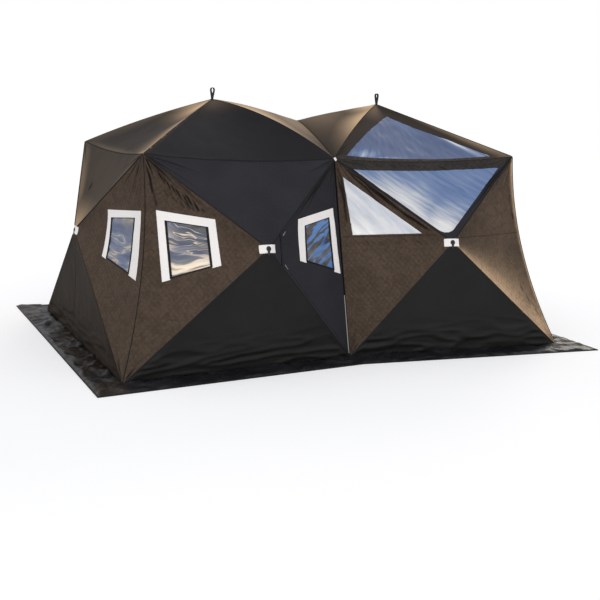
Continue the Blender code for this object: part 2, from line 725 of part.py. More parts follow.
def make_sliders(frame, tape_outer, tape_inner):
    """Two zip sliders, which meet at the hub end of the tape when the door is shut."""
    for name, hub_end, seam_end in (("zip_slider_upper", 3, 2), ("zip_slider_lower", 0, 1)):
        ends = [
            (Vector(tape_outer[corner_index]) + Vector(tape_inner[corner_index])) / 2
            for corner_index in (hub_end, seam_end)
        ]
        run = (ends[1] - ends[0]).normalized()
        start = ends[0] + run * SLIDER_START
        along = (frame.to_3x3() @ Vector((*run, 0))).normalized()
        facing = frame.col[2].xyz
        origin = frame @ Vector((*start, TOUCH_GAP))
        place = axes_frame(along, facing.cross(along), facing, origin)
        half_length, half_width, half_nose = SLIDER_LENGTH / 2, SLIDER_WIDTH / 2, SLIDER_NOSE_WIDTH / 2
        body = [
            (-half_length, -half_nose), (half_length, -half_width),
            (half_length, half_width), (-half_length, half_nose),
        ]
        slider = finish(name, outline_prism(body, 0, SLIDER_HEIGHT), ZINC, place)
        half_pull = PULL_WIDTH / 2
        reach = half_length + PULL_LENGTH - half_pull
        pull = [(0.0, half_pull), (0.0, -half_pull), *arc(half_pull, -90, 90, 6, (reach, 0.0))]
        tool = outline_prism(pull, PULL_LIFT, PULL_LIFT + PULL_THICKNESS)
        combine(slider, finish(f"{name}_pull", tool, ZINC, place), "UNION")


def make_stove_jack(panel, cover):
    """A heatproof plate on the roof's outer face with a round hole for the flue, over a wider hole
    in the cloth."""
    foot = (JACK_FROM_HUB, 0.0)
    half = JACK_SIDE / 2
    square = [(foot[0] + x * half, foot[1] + y * half) for x, y in ((-1, -1), (1, -1), (1, 1), (-1, 1))]
    last = 360 - 360 / JACK_HOLE_SIDES
    opening = arc(JACK_HOLE_RADIUS + JACK_CLEARANCE, 0, last, JACK_HOLE_SIDES - 1, foot)
    cut_opening(cover, panel, JACK_SEAM, opening)
    outer, inner = -TOUCH_GAP - JACK_THICKNESS, -TOUCH_GAP
    jack = cloth_patch("stove_jack", panel, JACK_SEAM, square, outer, inner, SILICONE)
    cut_opening(jack, panel, JACK_SEAM, arc(JACK_HOLE_RADIUS, 0, last, JACK_HOLE_SIDES - 1, foot))


def make_skirt():
    """The ground skirt: a flat band round the foot of the walls, tucked a little way under them."""
    ring = [(-1, -1), (0, -1), (1, -1), (1, 1), (0, 1), (-1, 1)]
    foot = [tuple(corner(side, face, False).xy) for side, face in ring]
    outer = inset_outline(foot, [-SKIRT_WIDTH] * len(foot))
    inner = inset_outline(foot, [SKIRT_TUCK] * len(foot))
    return finish("ground_skirt", outline_prism(outer, 0, SKIRT_THICKNESS, inner), SKIRT_CLOTH)


for old in list(bpy.data.objects):
    bpy.data.objects.remove(old)

TOOL_MATERIAL = material("tool", (0.5, 0.5, 0.5), 0.8)
CHARCOAL_CLOTH = material("charcoal_cloth", (0.033, 0.032, 0.036), 0.85)
BROWN_CLOTH = material("brown_quilted_cloth", (0.085, 0.062, 0.045), 0.85)
SKIRT_CLOTH = material("skirt_cloth", (0.030, 0.024, 0.020), 0.80)
WINDOW_FRAME = material("window_frame", (0.80, 0.78, 0.75), 0.70)
FILM_CLEAR = material("window_film", (0.45, 0.50, 0.58), 0.10)
WEBBING = material("webbing", (0.010, 0.010, 0.011), 0.80)
NYLON = material("hub_nylon", (0.012, 0.012, 0.013), 0.45)
FIBREGLASS = material("pole_fibreglass", (0.020, 0.020, 0.022), 0.35)
ZINC = material("zip_zinc", (0.45, 0.45, 0.46), 0.35, metallic=1.0)
SILICONE = material("jack_silicone", (0.35, 0.07, 0.04), 0.60)

PANELS = {panel["name"]: panel for panel in all_panels()}
COVERS = {}
for panel_name, panel in PANELS.items():
    has_brown = panel_name in ("end_left", "end_right", "front_right", "back_right")
    cover_material = BROWN_CLOTH if has_brown else CHARCOAL_CLOTH
    COVERS[panel_name] = finish(f"cover_{panel_name}", cloth(panel, 0, CLOTH), cover_material)
    panel_hub = make_hub(panel)
    for pole_index, pole_angle in enumerate(pole_angles(panel)):
        make_pole(panel, pole_index, pole_angle, panel_hub)

for panel_name, window_name, frame_points, film_points in (
    ("end_left", "window_end_left", END_WINDOW_FRAME, END_WINDOW_FILM),
    ("front_left", "window_front_left", FRONT_WINDOW_FRAME, FRONT_WINDOW_FILM),
):
    panel = PANELS[panel_name]
    framed_window(
        window_name, COVERS[panel_name], panel, "outer",
        from_seam(panel, "outer", frame_points), from_seam(panel, "outer", film_points),
        WINDOW_FRAME,
    )

for panel_name, window_name, seam, points, curve in (
    ("roof_right", "sky_window_roof", "front", ROOF_SKY_WINDOW, 0),
    ("front_right", "sky_window_front_top", "front", TOP_SKY_WINDOW, TOP_SKY_WINDOW_CURVE),
    ("front_right", "sky_window_front_side", "waist", SIDE_SKY_WINDOW, 0),
):
    panel = PANELS[panel_name]
    outline = from_seam(panel, seam, points)
    if curve:
        outline = rounded_corner(outline, 0, curve, 5)
    film_window(window_name, COVERS[panel_name], panel, seam, outline, FILM_CLEAR)

make_door(PANELS["front_left"], COVERS["front_left"])
make_stove_jack(PANELS["roof_left"], COVERS["roof_left"])
make_skirt()
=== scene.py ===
import math

import bmesh
import bpy
import numpy as np
from mathutils import Matrix, Vector, noise
from mathutils.bvhtree import BVHTree


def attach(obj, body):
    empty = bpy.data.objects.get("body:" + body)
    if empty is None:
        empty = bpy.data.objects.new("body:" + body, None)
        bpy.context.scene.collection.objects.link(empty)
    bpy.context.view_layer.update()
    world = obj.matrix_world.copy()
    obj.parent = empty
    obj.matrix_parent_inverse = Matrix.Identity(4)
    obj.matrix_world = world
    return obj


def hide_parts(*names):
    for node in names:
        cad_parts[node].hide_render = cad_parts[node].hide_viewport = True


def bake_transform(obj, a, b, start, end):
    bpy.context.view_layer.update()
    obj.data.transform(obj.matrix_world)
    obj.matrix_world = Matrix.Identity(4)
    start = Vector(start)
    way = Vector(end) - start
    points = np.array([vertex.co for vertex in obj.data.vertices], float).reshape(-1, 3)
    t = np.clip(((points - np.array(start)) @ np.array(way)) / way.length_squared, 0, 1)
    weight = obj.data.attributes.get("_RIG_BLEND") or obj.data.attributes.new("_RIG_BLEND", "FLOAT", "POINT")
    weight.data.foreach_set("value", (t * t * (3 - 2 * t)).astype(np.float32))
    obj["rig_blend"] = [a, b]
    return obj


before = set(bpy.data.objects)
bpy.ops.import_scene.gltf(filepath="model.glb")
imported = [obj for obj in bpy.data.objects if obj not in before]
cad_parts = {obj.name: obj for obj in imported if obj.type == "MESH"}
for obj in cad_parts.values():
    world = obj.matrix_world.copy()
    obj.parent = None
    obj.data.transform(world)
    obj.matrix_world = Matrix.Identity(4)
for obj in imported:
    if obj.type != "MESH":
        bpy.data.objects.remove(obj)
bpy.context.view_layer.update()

# ---- Camera, at the photograph's viewing angle ----
# It stands low in front of the left bay, about nine metres off.
TURN, LIFT, ROLL = math.radians(-25.909), math.radians(11.836), math.radians(1.878)
CAMERA_PLACE = (-3.9551, -8.7615, 2.1390)


def new_object(name, data):
    """An object in the scene."""
    made = bpy.data.objects.new(name, data)
    bpy.context.scene.collection.objects.link(made)
    return made


back = Vector((math.sin(TURN) * math.cos(LIFT), -math.cos(TURN) * math.cos(LIFT), math.sin(LIFT)))
right = (-back).cross(Vector((0, 0, 1))).normalized()
up = right.cross(-back)
right, up = (
    right * math.cos(ROLL) + up * math.sin(ROLL),
    up * math.cos(ROLL) - right * math.sin(ROLL),
)
camera = new_object("camera", bpy.data.cameras.new("camera"))
camera.matrix_world = Matrix((*zip(right, up, back, CAMERA_PLACE), (0, 0, 0, 1)))
camera.data.sensor_width = 36
camera.data.lens = 61.2065
camera.data.shift_x, camera.data.shift_y = -0.0329, 0.0256
bpy.context.scene.camera = camera

# ---- Panels: the corners and seams that the cloth is sewn to ----
# Each wall and roof is a square between four shell corners, whose hub holds its middle out.
# Its four facets run from the hub to the front or top seam, the waist's, the back or foot, the outer.
SEAMS = ("front", "waist", "back", "outer")
MIDDLE = Vector((0, 0, 0.85))
TOP_HALF_LENGTH, TOP_HALF_DEPTH, CORNER_HEIGHT = 1.74, 0.98, 1.70
WAIST_HALF_DEPTH, WAIST_HEIGHT = 0.8094, 1.66
BASE_HALF_LENGTH, BASE_HALF_DEPTH, BASE_WAIST_HALF_DEPTH = 2.04, 1.4491, 1.237
FOOT_HEIGHT = 0.0033
# How far a seam's middle leaves the straight line: the arched one over the waist, an eave, a corner
ARCH_RISE, EAVE_SAG, CORNER_SAG = 0.30, 0.045, 0.11


def corner(side, face, at_top):
    """A shell corner: side is -1 left, 0 waist or 1 right, and face is -1 front or 1 back."""
    if at_top and side:
        return Vector((TOP_HALF_LENGTH * side, TOP_HALF_DEPTH * face, CORNER_HEIGHT))
    if at_top:
        return Vector((0, WAIST_HALF_DEPTH * face, WAIST_HEIGHT))
    depth = BASE_HALF_DEPTH if side else BASE_WAIST_HALF_DEPTH
    return Vector((BASE_HALF_LENGTH * side, depth * face, FOOT_HEIGHT))


def wall(start, end, hub):
    """A wall's corners in order from its two ends, and its hub."""
    return [corner(*start, True), corner(*end, True), corner(*end, False), corner(*start, False)], hub


PANELS = {}
for face, face_name in ((-1, "front"), (1, "back")):
    for side, side_name in ((-1, "left"), (1, "right")):
        hub = Vector((0.8544 * side, 1.4283 * face, 0.9938))
        PANELS[f"{face_name}_{side_name}"] = wall((side, face), (0, face), hub)
for side, side_name in ((-1, "left"), (1, "right")):
    PANELS[f"end_{side_name}"] = wall((side, -1), (side, 1), Vector((2.0675 * side, 0, 0.9948)))
    ring = [corner(side, -1, True), corner(0, -1, True), corner(0, 1, True), corner(side, 1, True)]
    PANELS[f"roof_{side_name}"] = ring, Vector((0.8297 * side, 0, 2.1292))


def panel_normal(panel):
    """The outward normal of the plane that a panel's corners lie in."""
    corners, hub = PANELS[panel]
    normal = (corners[2] - corners[0]).cross(corners[3] - corners[1]).normalized()
    return -normal if normal.dot(hub - MIDDLE) < 0 else normal


def seam_sag(start, end):
    """How the middle of the seam between two corners leaves the straight line."""
    if abs(start.x) < 0.01 and abs(end.x) < 0.01:
        return Vector((0, 0, ARCH_RISE)) if start.z > 1 and end.z > 1 else Vector((0, 0, 0))
    if start.z < 1 and end.z < 1:
        return Vector((0, 0, 0))
    middle = (start + end) / 2
    if abs(start.z - end.z) < 1:
        along_end = abs(start.x - end.x) < 0.01
        inwards = Vector((-middle.x, 0, 0)) if along_end else Vector((0, -middle.y, 0))
        return (inwards.normalized() + Vector((0, 0, -2))).normalized() * EAVE_SAG
    return Vector((-middle.x, -middle.y, 0)).normalized() * CORNER_SAG


class Facet:
    """One of a panel's four triangles of cloth, with a flat pattern: x runs from the hub square to
    the seam and y along it, up or to the right. Its place in 3-D goes over the poles and seam."""

    def __init__(self, panel, seam):
        corners, self.hub = PANELS[panel]
        first = SEAMS.index(seam)
        self.start, self.end = corners[first], corners[(first + 1) % 4]
        along = (self.end - self.start).normalized()
        if along.z < -0.5 or (abs(along.z) < 0.5 and along.x < 0):
            along.negate()
        reach = self.start - self.hub
        across = (reach - along * reach.dot(along)).normalized()
        facing = across.cross(along)
        if facing.dot(panel_normal(panel)) < 0:
            facing.negate()
        self.panel, self.seam = panel, seam
        self.axes = np.array([across, along, facing])
        self.normal = np.array(panel_normal(panel))
        self.sag = seam_sag(self.start, self.end)
        self.name = f"{panel}_{seam}"

    def seam_point(self, share):
        """Points on the seam at shares of its length, less the hub. A sewn edge hangs in a round
        curve, but where the two roofs meet, their arched seam is pulled nearly straight."""
        share = np.asarray(share, float)[..., None]
        straight = np.array(self.start - self.hub) * (1 - share) + np.array(self.end - self.hub) * share
        power = 1.25 if self.sag.z > 0 else 2.0
        return straight + np.array(self.sag) * (1 - np.abs(2 * share - 1) ** power)

    def flat(self, share, out):
        """Flat (x, y) of points at a share of the seam, out from the hub by a share of the way."""
        return (self.seam_point(share) * np.asarray(out)[..., None]) @ self.axes[:2].T

    def shares(self, flat):
        """The shares along the seam and out from the hub of flat (x, y) points."""
        start, end = self.flat([0, 1], [1, 1])
        way_round = np.sign(start[0] * end[1] - start[1] * end[0])
        low, high = np.zeros(len(flat)), np.ones(len(flat))
        for _ in range(36):
            middle = (low + high) / 2
            rim = self.flat(middle, np.ones(len(flat)))
            beyond = way_round * (flat[:, 0] * rim[:, 1] - flat[:, 1] * rim[:, 0]) > 0
            low, high = np.where(beyond, low, middle), np.where(beyond, middle, high)
        rim = self.flat(low, np.ones(len(flat)))
        return low, np.hypot(*flat.T) / np.hypot(*rim.T)

    def place(self, flat):
        """Where flat points lie on the stretched cloth, before its folds."""
        share, out = self.shares(flat)
        return np.array(self.hub) + self.seam_point(share) * out[:, None]


# ---- Cloth of the shell: folds, quilting and colours that all its pieces share ----
# Insulated cloth is cut as flat triangles, its windows are cut out, and the poles pull it tight,
# so it creases from the corners and hangs a little slack between them.


def smooth_step(x):
    x = np.clip(x, 0, 1)
    return x * x * (3 - 2 * x)


# Depths in metres: of single folds, of creases that fan out from the corners, of the cloth's broad
# and fine slack and its drawing in between the poles, and of the folds and waves at a wall's foot
FOLD_DEPTH, CREASE_DEPTH = 0.010, 0.012
BROAD_SLACK, FINE_SLACK, DRAWN_IN = 0.007, 0.0025, 0.012
FOOT_FOLD, FOOT_WAVE = 0.017, 0.008
# How far the bent poles push a ridge out, by panel and by corner
RIDGE_BOW = {
    "roof_left": (0.012, 0.075, 0.06, 0.025), "roof_right": (0.0, 0.045, 0.045, 0.02),
}
# The deep creases where the cloth is pulled hardest, by panel, seam and end of the seam: place
# from 0 at the ridge to 1 at the seam, length and depth
DEEP_CREASES = {
    ("front_left", "outer", 1): (
        (0.03, 0.90, 0.5), (0.10, 0.40, 0.8), (0.20, 0.30, 1.0), (0.36, 0.20, 0.5), (0.49, 0.26, 1.0),
        (0.64, 0.42, 1.1), (0.74, 0.20, 0.4), (0.96, 0.60, 0.6),
    ),
    ("front_left", "waist", 0): (
        (0.05, 0.90, 1.1), (0.12, 0.80, 1.0), (0.20, 0.50, 0.6), (0.32, 0.42, 0.6), (0.45, 0.40, 0.7),
        (0.60, 0.34, 0.6), (0.80, 0.50, 0.5),
    ),
    ("front_right", "waist", 0): (
        (0.035, 0.95, 1.1), (0.09, 1.05, 1.0), (0.15, 0.85, 0.9), (0.74, 0.50, 0.5), (0.88, 0.60, 0.9),
        (0.95, 0.35, 0.7),
    ),
    ("front_right", "outer", 1): (
        (0.05, 0.55, 0.8), (0.12, 0.40, 0.6), (0.80, 0.50, 0.5), (0.90, 0.80, 0.8), (0.96, 0.95, 0.9),
    ),
    ("front_right", "front", 0): ((0.05, 1.00, 1.0), (0.10, 0.95, 0.8), (0.15, 0.60, 0.5)),
    ("front_right", "front", 1): ((0.06, 0.80, 0.9), (0.12, 0.60, 0.7)),
    ("roof_right", "front", 1): ((0.05, 0.30, 0.6), (0.13, 0.34, 0.7), (0.22, 0.26, 0.5)),
    ("roof_right", "waist", 1): ((0.25, 0.30, 0.5), (0.60, 0.34, 0.6)),
    ("end_right", "outer", 1): ((0.10, 0.60, 0.9), (0.22, 0.55, 0.8), (0.45, 0.60, 0.7), (0.75, 0.70, 0.8)),
}


# Single folds by facet: from and to on its flat pattern, depth and width. Rows of short folds: the
# row's own ends, how many, the way they lie, depth and width.
FOLDS = {
    "front_left_outer": [((0.99, 0.52), (0.94, 0.34), 0.9, 0.007)],
    "front_right_waist": [
        ((0.72, 0.555), (0.48, 0.33), 1.2, 0.010), ((0.43, 0.295), (0.17, 0.09), 1.3, 0.009),
        ((0.93, 0.62), (0.90, 0.36), 1.0, 0.009), ((0.915, 0.42), (0.90, 0.22), 0.9, 0.008),
    ],
    "front_left_waist": [
        ((0.93, 0.735), (0.30, 0.225), 1.0, 0.008), ((0.86, 0.66), (0.36, 0.235), 0.7, 0.007),
    ],
}
FOLD_ROWS = {
    "front_left_outer": (
        ((0.93, 0.53), (0.40, 0.155), 25, (-0.064, -0.094), 1.0, 0.0048),
        ((0.84, 0.38), (0.50, 0.20), 15, (-0.06, -0.07), 0.6, 0.0048),
        ((0.97, 0.44), (0.90, 0.28), 6, (-0.01, -0.09), 0.6, 0.006),
    ),
    "front_right_waist": (((0.88, 0.09), (0.25, 0.05), 12, (-0.05, -0.045), 0.5, 0.005),),
    "front_right_front": (((0.82, -0.72), (0.81, 0.30), 13, (-0.035, 0.075), 0.5, 0.006),),
    "front_right_outer": (
        ((0.93, 0.45), (0.92, 0.12), 7, (-0.01, -0.10), 0.7, 0.007),
        ((0.80, -0.50), (0.93, -0.78), 8, (0.03, -0.10), 0.6, 0.006),
    ),
}
for name, rows in FOLD_ROWS.items():
    chance = np.random.RandomState(len(name) * 31)
    for start, end, number, way, strength, width in rows:
        for i in range(number):
            place = Vector(start).lerp(Vector(end), (i + chance.uniform(-0.3, 0.3)) / max(number - 1, 1))
            place += Vector((chance.uniform(-0.016, 0.016), chance.uniform(-0.016, 0.016)))
            reach = Vector(way) * chance.uniform(0.6, 1.3)
            if name == "front_left_outer":
                # The window frame holds the cloth flat.
                reach *= min(1, max(0, (place.y - 0.235) / -reach.y))
            if reach.length < 0.03:
                continue
            FOLDS.setdefault(name, []).append(
                (tuple(place), tuple(place + reach), strength * chance.uniform(0.5, 1.1), width),
            )


def facet_folds(facet, flat):
    """Depth of the single folds in a facet, and the painted shade in their hollows."""
    depth, dark = np.zeros(len(flat)), np.zeros(len(flat))
    for start, end, strength, width in FOLDS.get(facet.name, ()):
        way = np.array(end) - np.array(start)
        length = np.hypot(*way)
        along = (flat - np.array(start)) @ way / length ** 2
        side = (flat - np.array(start)) @ np.array([-way[1], way[0]]) / length
        side = side + 0.12 * length * along * (1 - along)
        taper = smooth_step(along / 0.3) * smooth_step((1 - along) / 0.3)
        cut = taper * np.exp(-((side / width) ** 2))
        depth += FOLD_DEPTH * strength * (0.5 * taper * np.exp(-((side / width / 2.8) ** 2)) - cut)
        # Each fold's hollow gets painted shade.
        dark += strength * cut
    return depth, dark


def facet_creases(facet, flat, share, out):
    """Depth of the creases that fan out from a facet's corners, and the painted shade in them."""
    depth, dark = facet_folds(facet, flat)
    ends = facet.flat([0.0, 1.0], [1.0, 1.0])
    is_roof = facet.hub.z > 1.5
    for number, (end, other, height) in enumerate(zip(ends, ends[::-1], (facet.start.z, facet.end.z))):
        seed = sum(ord(letter) * (i + 3) for i, letter in enumerate(facet.name)) * 7 + number
        chance = np.random.RandomState(seed % 99991)
        creases = list(DEEP_CREASES.get((facet.panel, facet.seam, number), ()))
        # Shallow creases lie all round each corner.
        for _ in range(3 if creases or is_roof else 7):
            place = chance.beta(0.7, 0.7) * 0.86 + 0.07
            reach = (0.30 if is_roof or height < 1 else 0.50) * (0.5 + 0.7 * chance.rand())
            creases.append((place, reach, (0.25 if is_roof else 0.5) * (0.5 + 0.6 * chance.rand())))
        away = flat - end
        radius = np.hypot(*away.T) + 1e-9
        to_hub, to_other = -end / np.hypot(*end), (other - end) / np.hypot(*(other - end))
        spread = math.acos(float(np.clip(to_hub @ to_other, -1, 1)))
        angle = np.arccos(np.clip(away @ to_hub / radius, -1, 1))
        for place, reach, strength in creases:
            wander = chance.uniform(-0.05, 0.05)
            shake = 0.004 * np.sin(radius * chance.uniform(14, 24) + chance.uniform(0, 6))
            side = radius * np.sin(angle - spread * (place + wander * radius / reach)) + shake
            width = 0.004 + 0.010 * radius
            cut = np.exp(-((side / width) ** 2))
            swell = np.exp(-((side / (2.8 * width)) ** 2))
            fade = smooth_step(radius / 0.05) * (1 - smooth_step(1.6 * radius / reach - 0.6))
            depth += CREASE_DEPTH * strength * fade * (0.6 * swell - cut)
            # Each crease's hollow gets painted shade.
            dark += 1.25 * strength * fade * cut
    return depth, np.clip(dark, 0, 1)


def slack(points, size, seed):
    """Smooth noise from -1 to 1 over a list of points."""
    shift = Vector((seed * 7.31, seed * 3.17, seed * 1.73))
    return np.array([noise.noise(Vector(point) / size + shift) for point in points])


def from_path(flat, path):
    """Distance of flat points from a path of (x, y) points."""
    nearest = np.full(len(flat), 9.0)
    for start, end in zip(path, path[1:]):
        start, way = np.array(start), np.array(end) - np.array(start)
        along = np.clip((flat - start) @ way / (way @ way), 0, 1)
        nearest = np.minimum(nearest, np.hypot(*(flat - start - along[:, None] * way).T))
    return nearest


# The zip tape keeps its own line taut: its middle, round three sides of the door.
ZIP_LINE = ((0.9455, 0.7526), (0.1603, 0.0970), (0.1603, -0.1134), (0.9455, -0.8605))


def stretched(facet, flat, waves=0.0):
    """The stretched cloth with its folds: places, the painted shade of the folds and creases at each point,
    and its way out.
    """
    share, out = facet.shares(flat)
    points = facet.place(flat)
    bows = RIDGE_BOW.get(facet.panel, (0, 0, 0, 0))
    first = SEAMS.index(facet.seam)
    bow = bows[first] * (1 - share) ** 2 + bows[(first + 1) % 4] * share ** 2
    points = points + facet.normal * (bow * 4 * out * (1 - out))[:, None]
    width = np.hypot(*(facet.flat([0.0], [1.0]) - facet.flat([1.0], [1.0]))[0])
    from_ridge = np.minimum(share, 1 - share) * width * out
    from_seam = (1 - out) * np.hypot(*facet.flat([0.5], [1.0])[0])
    edge = smooth_step(from_ridge / 0.02) * smooth_step(from_seam / 0.03)
    free = edge * smooth_step(from_ridge / 0.06)
    taut = np.ones(len(flat))
    if facet.name == "front_left_waist":
        taut = smooth_step(from_path(flat, ZIP_LINE) / 0.09 - 0.15)
    creases, dark = facet_creases(facet, flat, share, out)
    # Between the poles the cloth draws in a little, and a wall's foot hangs in shallow waves.
    depth = BROAD_SLACK * slack(points, 0.42, 1) + FINE_SLACK * slack(points, 0.13, 2)
    depth = depth - DRAWN_IN * 16 * share * (1 - share) * out * (1 - out)
    if facet.seam == "back" and facet.hub.z < 1.5:
        low = smooth_step((out - 0.62) / 0.3)
        folds = slack(points * np.array([0.45, 0.45, 2.8]), 0.17, 5)
        sharp = np.clip(1 - 2.4 * np.abs(folds), 0, 1)
        depth = depth + FOOT_FOLD * low * sharp + FOOT_WAVE * low * folds
    if waves:
        turned = np.stack([flat[:, 0] + 0.6 * flat[:, 1], flat[:, 1] * 2.4, np.zeros(len(flat))], 1)
        depth = depth + waves * slack(turned, 0.11, 3)
    depth = (depth * free + creases * edge) * taut
    return points + facet.axes[2] * depth[:, None], dark * edge, out


def new_sheet(facet, cell=0.012):
    """A facet's flat pattern as a fine grid, in a bmesh."""
    length = np.hypot(*(facet.flat([0.0], [1.0]) - facet.flat([1.0], [1.0]))[0])
    depth = np.hypot(*facet.flat([0.5], [1.0])[0])
    sheet = bmesh.new()
    bmesh.ops.create_grid(
        sheet, x_segments=round(length / cell), y_segments=round(depth / cell), size=0.5,
    )
    where = np.array([vert.co for vert in sheet.verts]) + 0.5
    for vert, flat in zip(sheet.verts, facet.flat(where[:, 0], where[:, 1])):
        vert.co = (*flat, 0)
    bmesh.ops.remove_doubles(sheet, verts=sheet.verts, dist=1e-6)
    return sheet


def cut_along(sheet, outline, faces=None):
    """Cuts a convex outline of (x, y) points into a flat sheet. Returns the faces inside it."""
    middle = sum((Vector(point) for point in outline), Vector((0, 0))) / len(outline)
    inside = list(faces if faces is not None else sheet.faces)
    for start, end in zip(outline, [*outline[1:], outline[0]]):
        along = Vector(end) - Vector(start)
        outwards = Vector((along.y, -along.x)).normalized()
        if outwards.dot(middle - Vector(start)) > 0:
            outwards.negate()
        geometry = {part for face in inside for part in (face, *face.edges, *face.verts)}
        cut = bmesh.ops.bisect_plane(
            sheet, geom=list(geometry), dist=1e-7, plane_co=(*start, 0), plane_no=(*outwards, 0),
        )
        inside = [
            part for part in cut["geom"]
            if isinstance(part, bmesh.types.BMFace)
            and outwards.dot(part.calc_center_median().xy - Vector(start)) < 0
        ]
    return inside


def keep_only(sheet, faces):
    """Drops every other face of a sheet."""
    kept = set(faces)
    bmesh.ops.delete(sheet, geom=[face for face in sheet.faces if face not in kept], context="FACES")


def drop(sheet, faces):
    """Takes faces out of a sheet."""
    bmesh.ops.delete(sheet, geom=faces, context="FACES")


GLOWS = {}


def keep_pattern(sheet, axes="xy"):
    """Keeps where a sheet's points lie as its UV map, in metres."""
    pattern = sheet.loops.layers.uv.new("pattern")
    for face in sheet.faces:
        for loop in face.loops:
            loop[pattern].uv = getattr(loop.vert.co, axes)


def face_out(sheet, way):
    """Turns a sheet's faces to look out along a way."""
    sheet.normal_update()
    if sum((face.normal * face.calc_area() for face in sheet.faces), Vector()).dot(way) < 0:
        bmesh.ops.reverse_faces(sheet, faces=sheet.faces)


def hang(sheet, facet, lift=0.0, waves=0.0, spots=None):
    """Lays a flat sheet over the poles, with its pattern kept as a UV map in metres."""
    keep_pattern(sheet)
    flat = np.array([vert.co.xy for vert in sheet.verts])
    if spots is None:
        spots = GLOWS.get((facet.panel, facet.seam), ())
    points, dark, out = stretched(facet, flat, waves)
    points = points + facet.axes[2] * lift
    share, _ = facet.shares(flat)
    glow = np.zeros(len(flat))
    for at_share, at_out, reach_share, reach_out, strength in spots:
        away = ((share - at_share) / reach_share) ** 2 + ((out - at_out) / reach_out) ** 2
        glow = np.maximum(glow, strength * np.exp(-away))
    # The first layer carries the painted shade of folds and creases, and glow the painted light.
    names = ("crease", "glow", "pop", "share")
    layers = {name: sheet.verts.layers.float.new(name) for name in names}
    for vert, point, *values in zip(sheet.verts, points, dark, glow, 1 - out, share):
        vert.co = point
        for name, value in zip(layers, values):
            vert[layers[name]] = value
    # A grid's faces may look inwards after it is hung, by which way its pattern runs.
    face_out(sheet, Vector(facet.axes[2]))
    return sheet


def joined(sheets):
    """Several hung sheets sewn into one."""
    whole = bmesh.new()
    for sheet in sheets:
        part = bpy.data.meshes.new("part")
        sheet.to_mesh(part)
        sheet.free()
        whole.from_mesh(part)
        bpy.data.meshes.remove(part)
    bmesh.ops.remove_doubles(whole, verts=whole.verts, dist=2e-5)
    return whole


def as_object(name, shape, materials):
    """An object from a bmesh, with its materials, shaded smooth."""
    mesh = bpy.data.meshes.new(name)
    shape.to_mesh(mesh)
    shape.free()
    mesh.polygons.foreach_set("use_smooth", [True] * len(mesh.polygons))
    for one in materials:
        mesh.materials.append(one)
    return new_object(name, mesh)


def thicken(piece, thickness, offset=-1.0, lining=0):
    """Gives cloth its thickness, inwards at offset -1, with a lining from another material slot."""
    step = piece.modifiers.new("thickness", "SOLIDIFY")
    step.thickness = thickness
    step.offset = offset
    step.material_offset = lining
    step.use_quality_normals = True


def cut_piece(name, facet, outline, materials, thickness, cell=0.012, hole=None, **laid):
    """A piece cut from a facet's pattern, with an opening if it has one, hung over the poles. Its
    last material is its lining."""
    sheet = new_sheet(facet, cell)
    keep_only(sheet, cut_along(sheet, outline))
    if hole:
        drop(sheet, cut_along(sheet, hole))
    piece = as_object(name, hang(sheet, facet, **laid), materials)
    thicken(piece, thickness, lining=len(materials) - 1)
    return piece


def pop_with(piece, panel):
    """Cloth follows the hub at its middle and the shell at its border, in proportion between."""
    hub = PANELS[panel][1]
    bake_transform(piece, "shell", f"hub_{panel}", start=hub - panel_normal(panel) * 0.4, end=hub)
    share = np.zeros(len(piece.data.vertices), np.float32)
    piece.data.attributes["pop"].data.foreach_get("value", share)
    piece.data.attributes["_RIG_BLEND"].data.foreach_set("value", share)


# Cloth materials


def dye(code):
    """A colour as it looks on screen, such as 5f7396, in the renderer's linear values."""
    values = [int(code[i:i + 2], 16) / 255 for i in (0, 2, 4)]
    return tuple(v / 12.92 if v <= 0.04045 else ((v + 0.055) / 1.055) ** 2.4 for v in values)


# What a node passes on when it is wired as it is, where that isn't its first output
MAIN_OUTPUT = {"ShaderNodeMix": "Result", "ShaderNodeAttribute": "Fac", "ShaderNodeTexWave": "Fac"}


class Net:
    """The shader nodes of a material, a group or the world, wired as they are added."""

    def __init__(self, tree):
        self.nodes, self.links = tree.nodes, tree.links

    def wire(self, socket, value):
        """Links a node or one of its outputs to a socket, or else sets the socket's value."""
        if isinstance(value, bpy.types.Node):
            value = value.outputs[MAIN_OUTPUT.get(value.bl_idname, 0)]
        if isinstance(value, bpy.types.NodeSocket):
            self.links.new(value, socket)
        else:
            socket.default_value = value

    def fill(self, node, **named):
        """Wires values to a node's inputs by their names, with _ for a space."""
        for name, value in named.items():
            self.wire(node.inputs[name.replace("_", " ")], value)

    def add(self, kind, *values, **named):
        """Adds a node. A name in lower case is one of its settings, and any other one of its inputs.
        Values without a name go to its inputs in order."""
        node = self.nodes.new(f"ShaderNode{kind}")
        for name in [name for name in named if name[0].islower()]:
            setattr(node, name, named.pop(name))
        for socket, value in zip(node.inputs, values):
            self.wire(socket, value)
        self.fill(node, **named)
        return node

    def attribute(self, name):
        """A value that the piece's points carry."""
        return self.add("Attribute", attribute_name=name)

    def mix(self, share, first, second, blend="MIX"):
        """Two colours mixed by a share."""
        return self.add("Mix", data_type="RGBA", blend_type=blend, Factor=share, A=first, B=second)

    def ramp(self, mask, *stops):
        """A colour ramp over a mask, from stops of a place and a linear colour."""
        node = self.add("ValToRGB", mask)
        elements = node.color_ramp.elements
        for number, (place, colour) in ((0, stops[0]), (1, stops[-1])):
            elements[number].position, elements[number].color = place, (*colour, 1)
        for place, colour in stops[1:-1]:
            elements.new(place).color = (*colour, 1)
        return node


def new_material(name, **named):
    """A material, its net and its shader, with values on the shader's inputs."""
    made = bpy.data.materials.new(name)
    made.use_nodes = True
    net, shader = Net(made.node_tree), made.node_tree.nodes["Principled BSDF"]
    net.fill(shader, **named)
    return made, net, shader


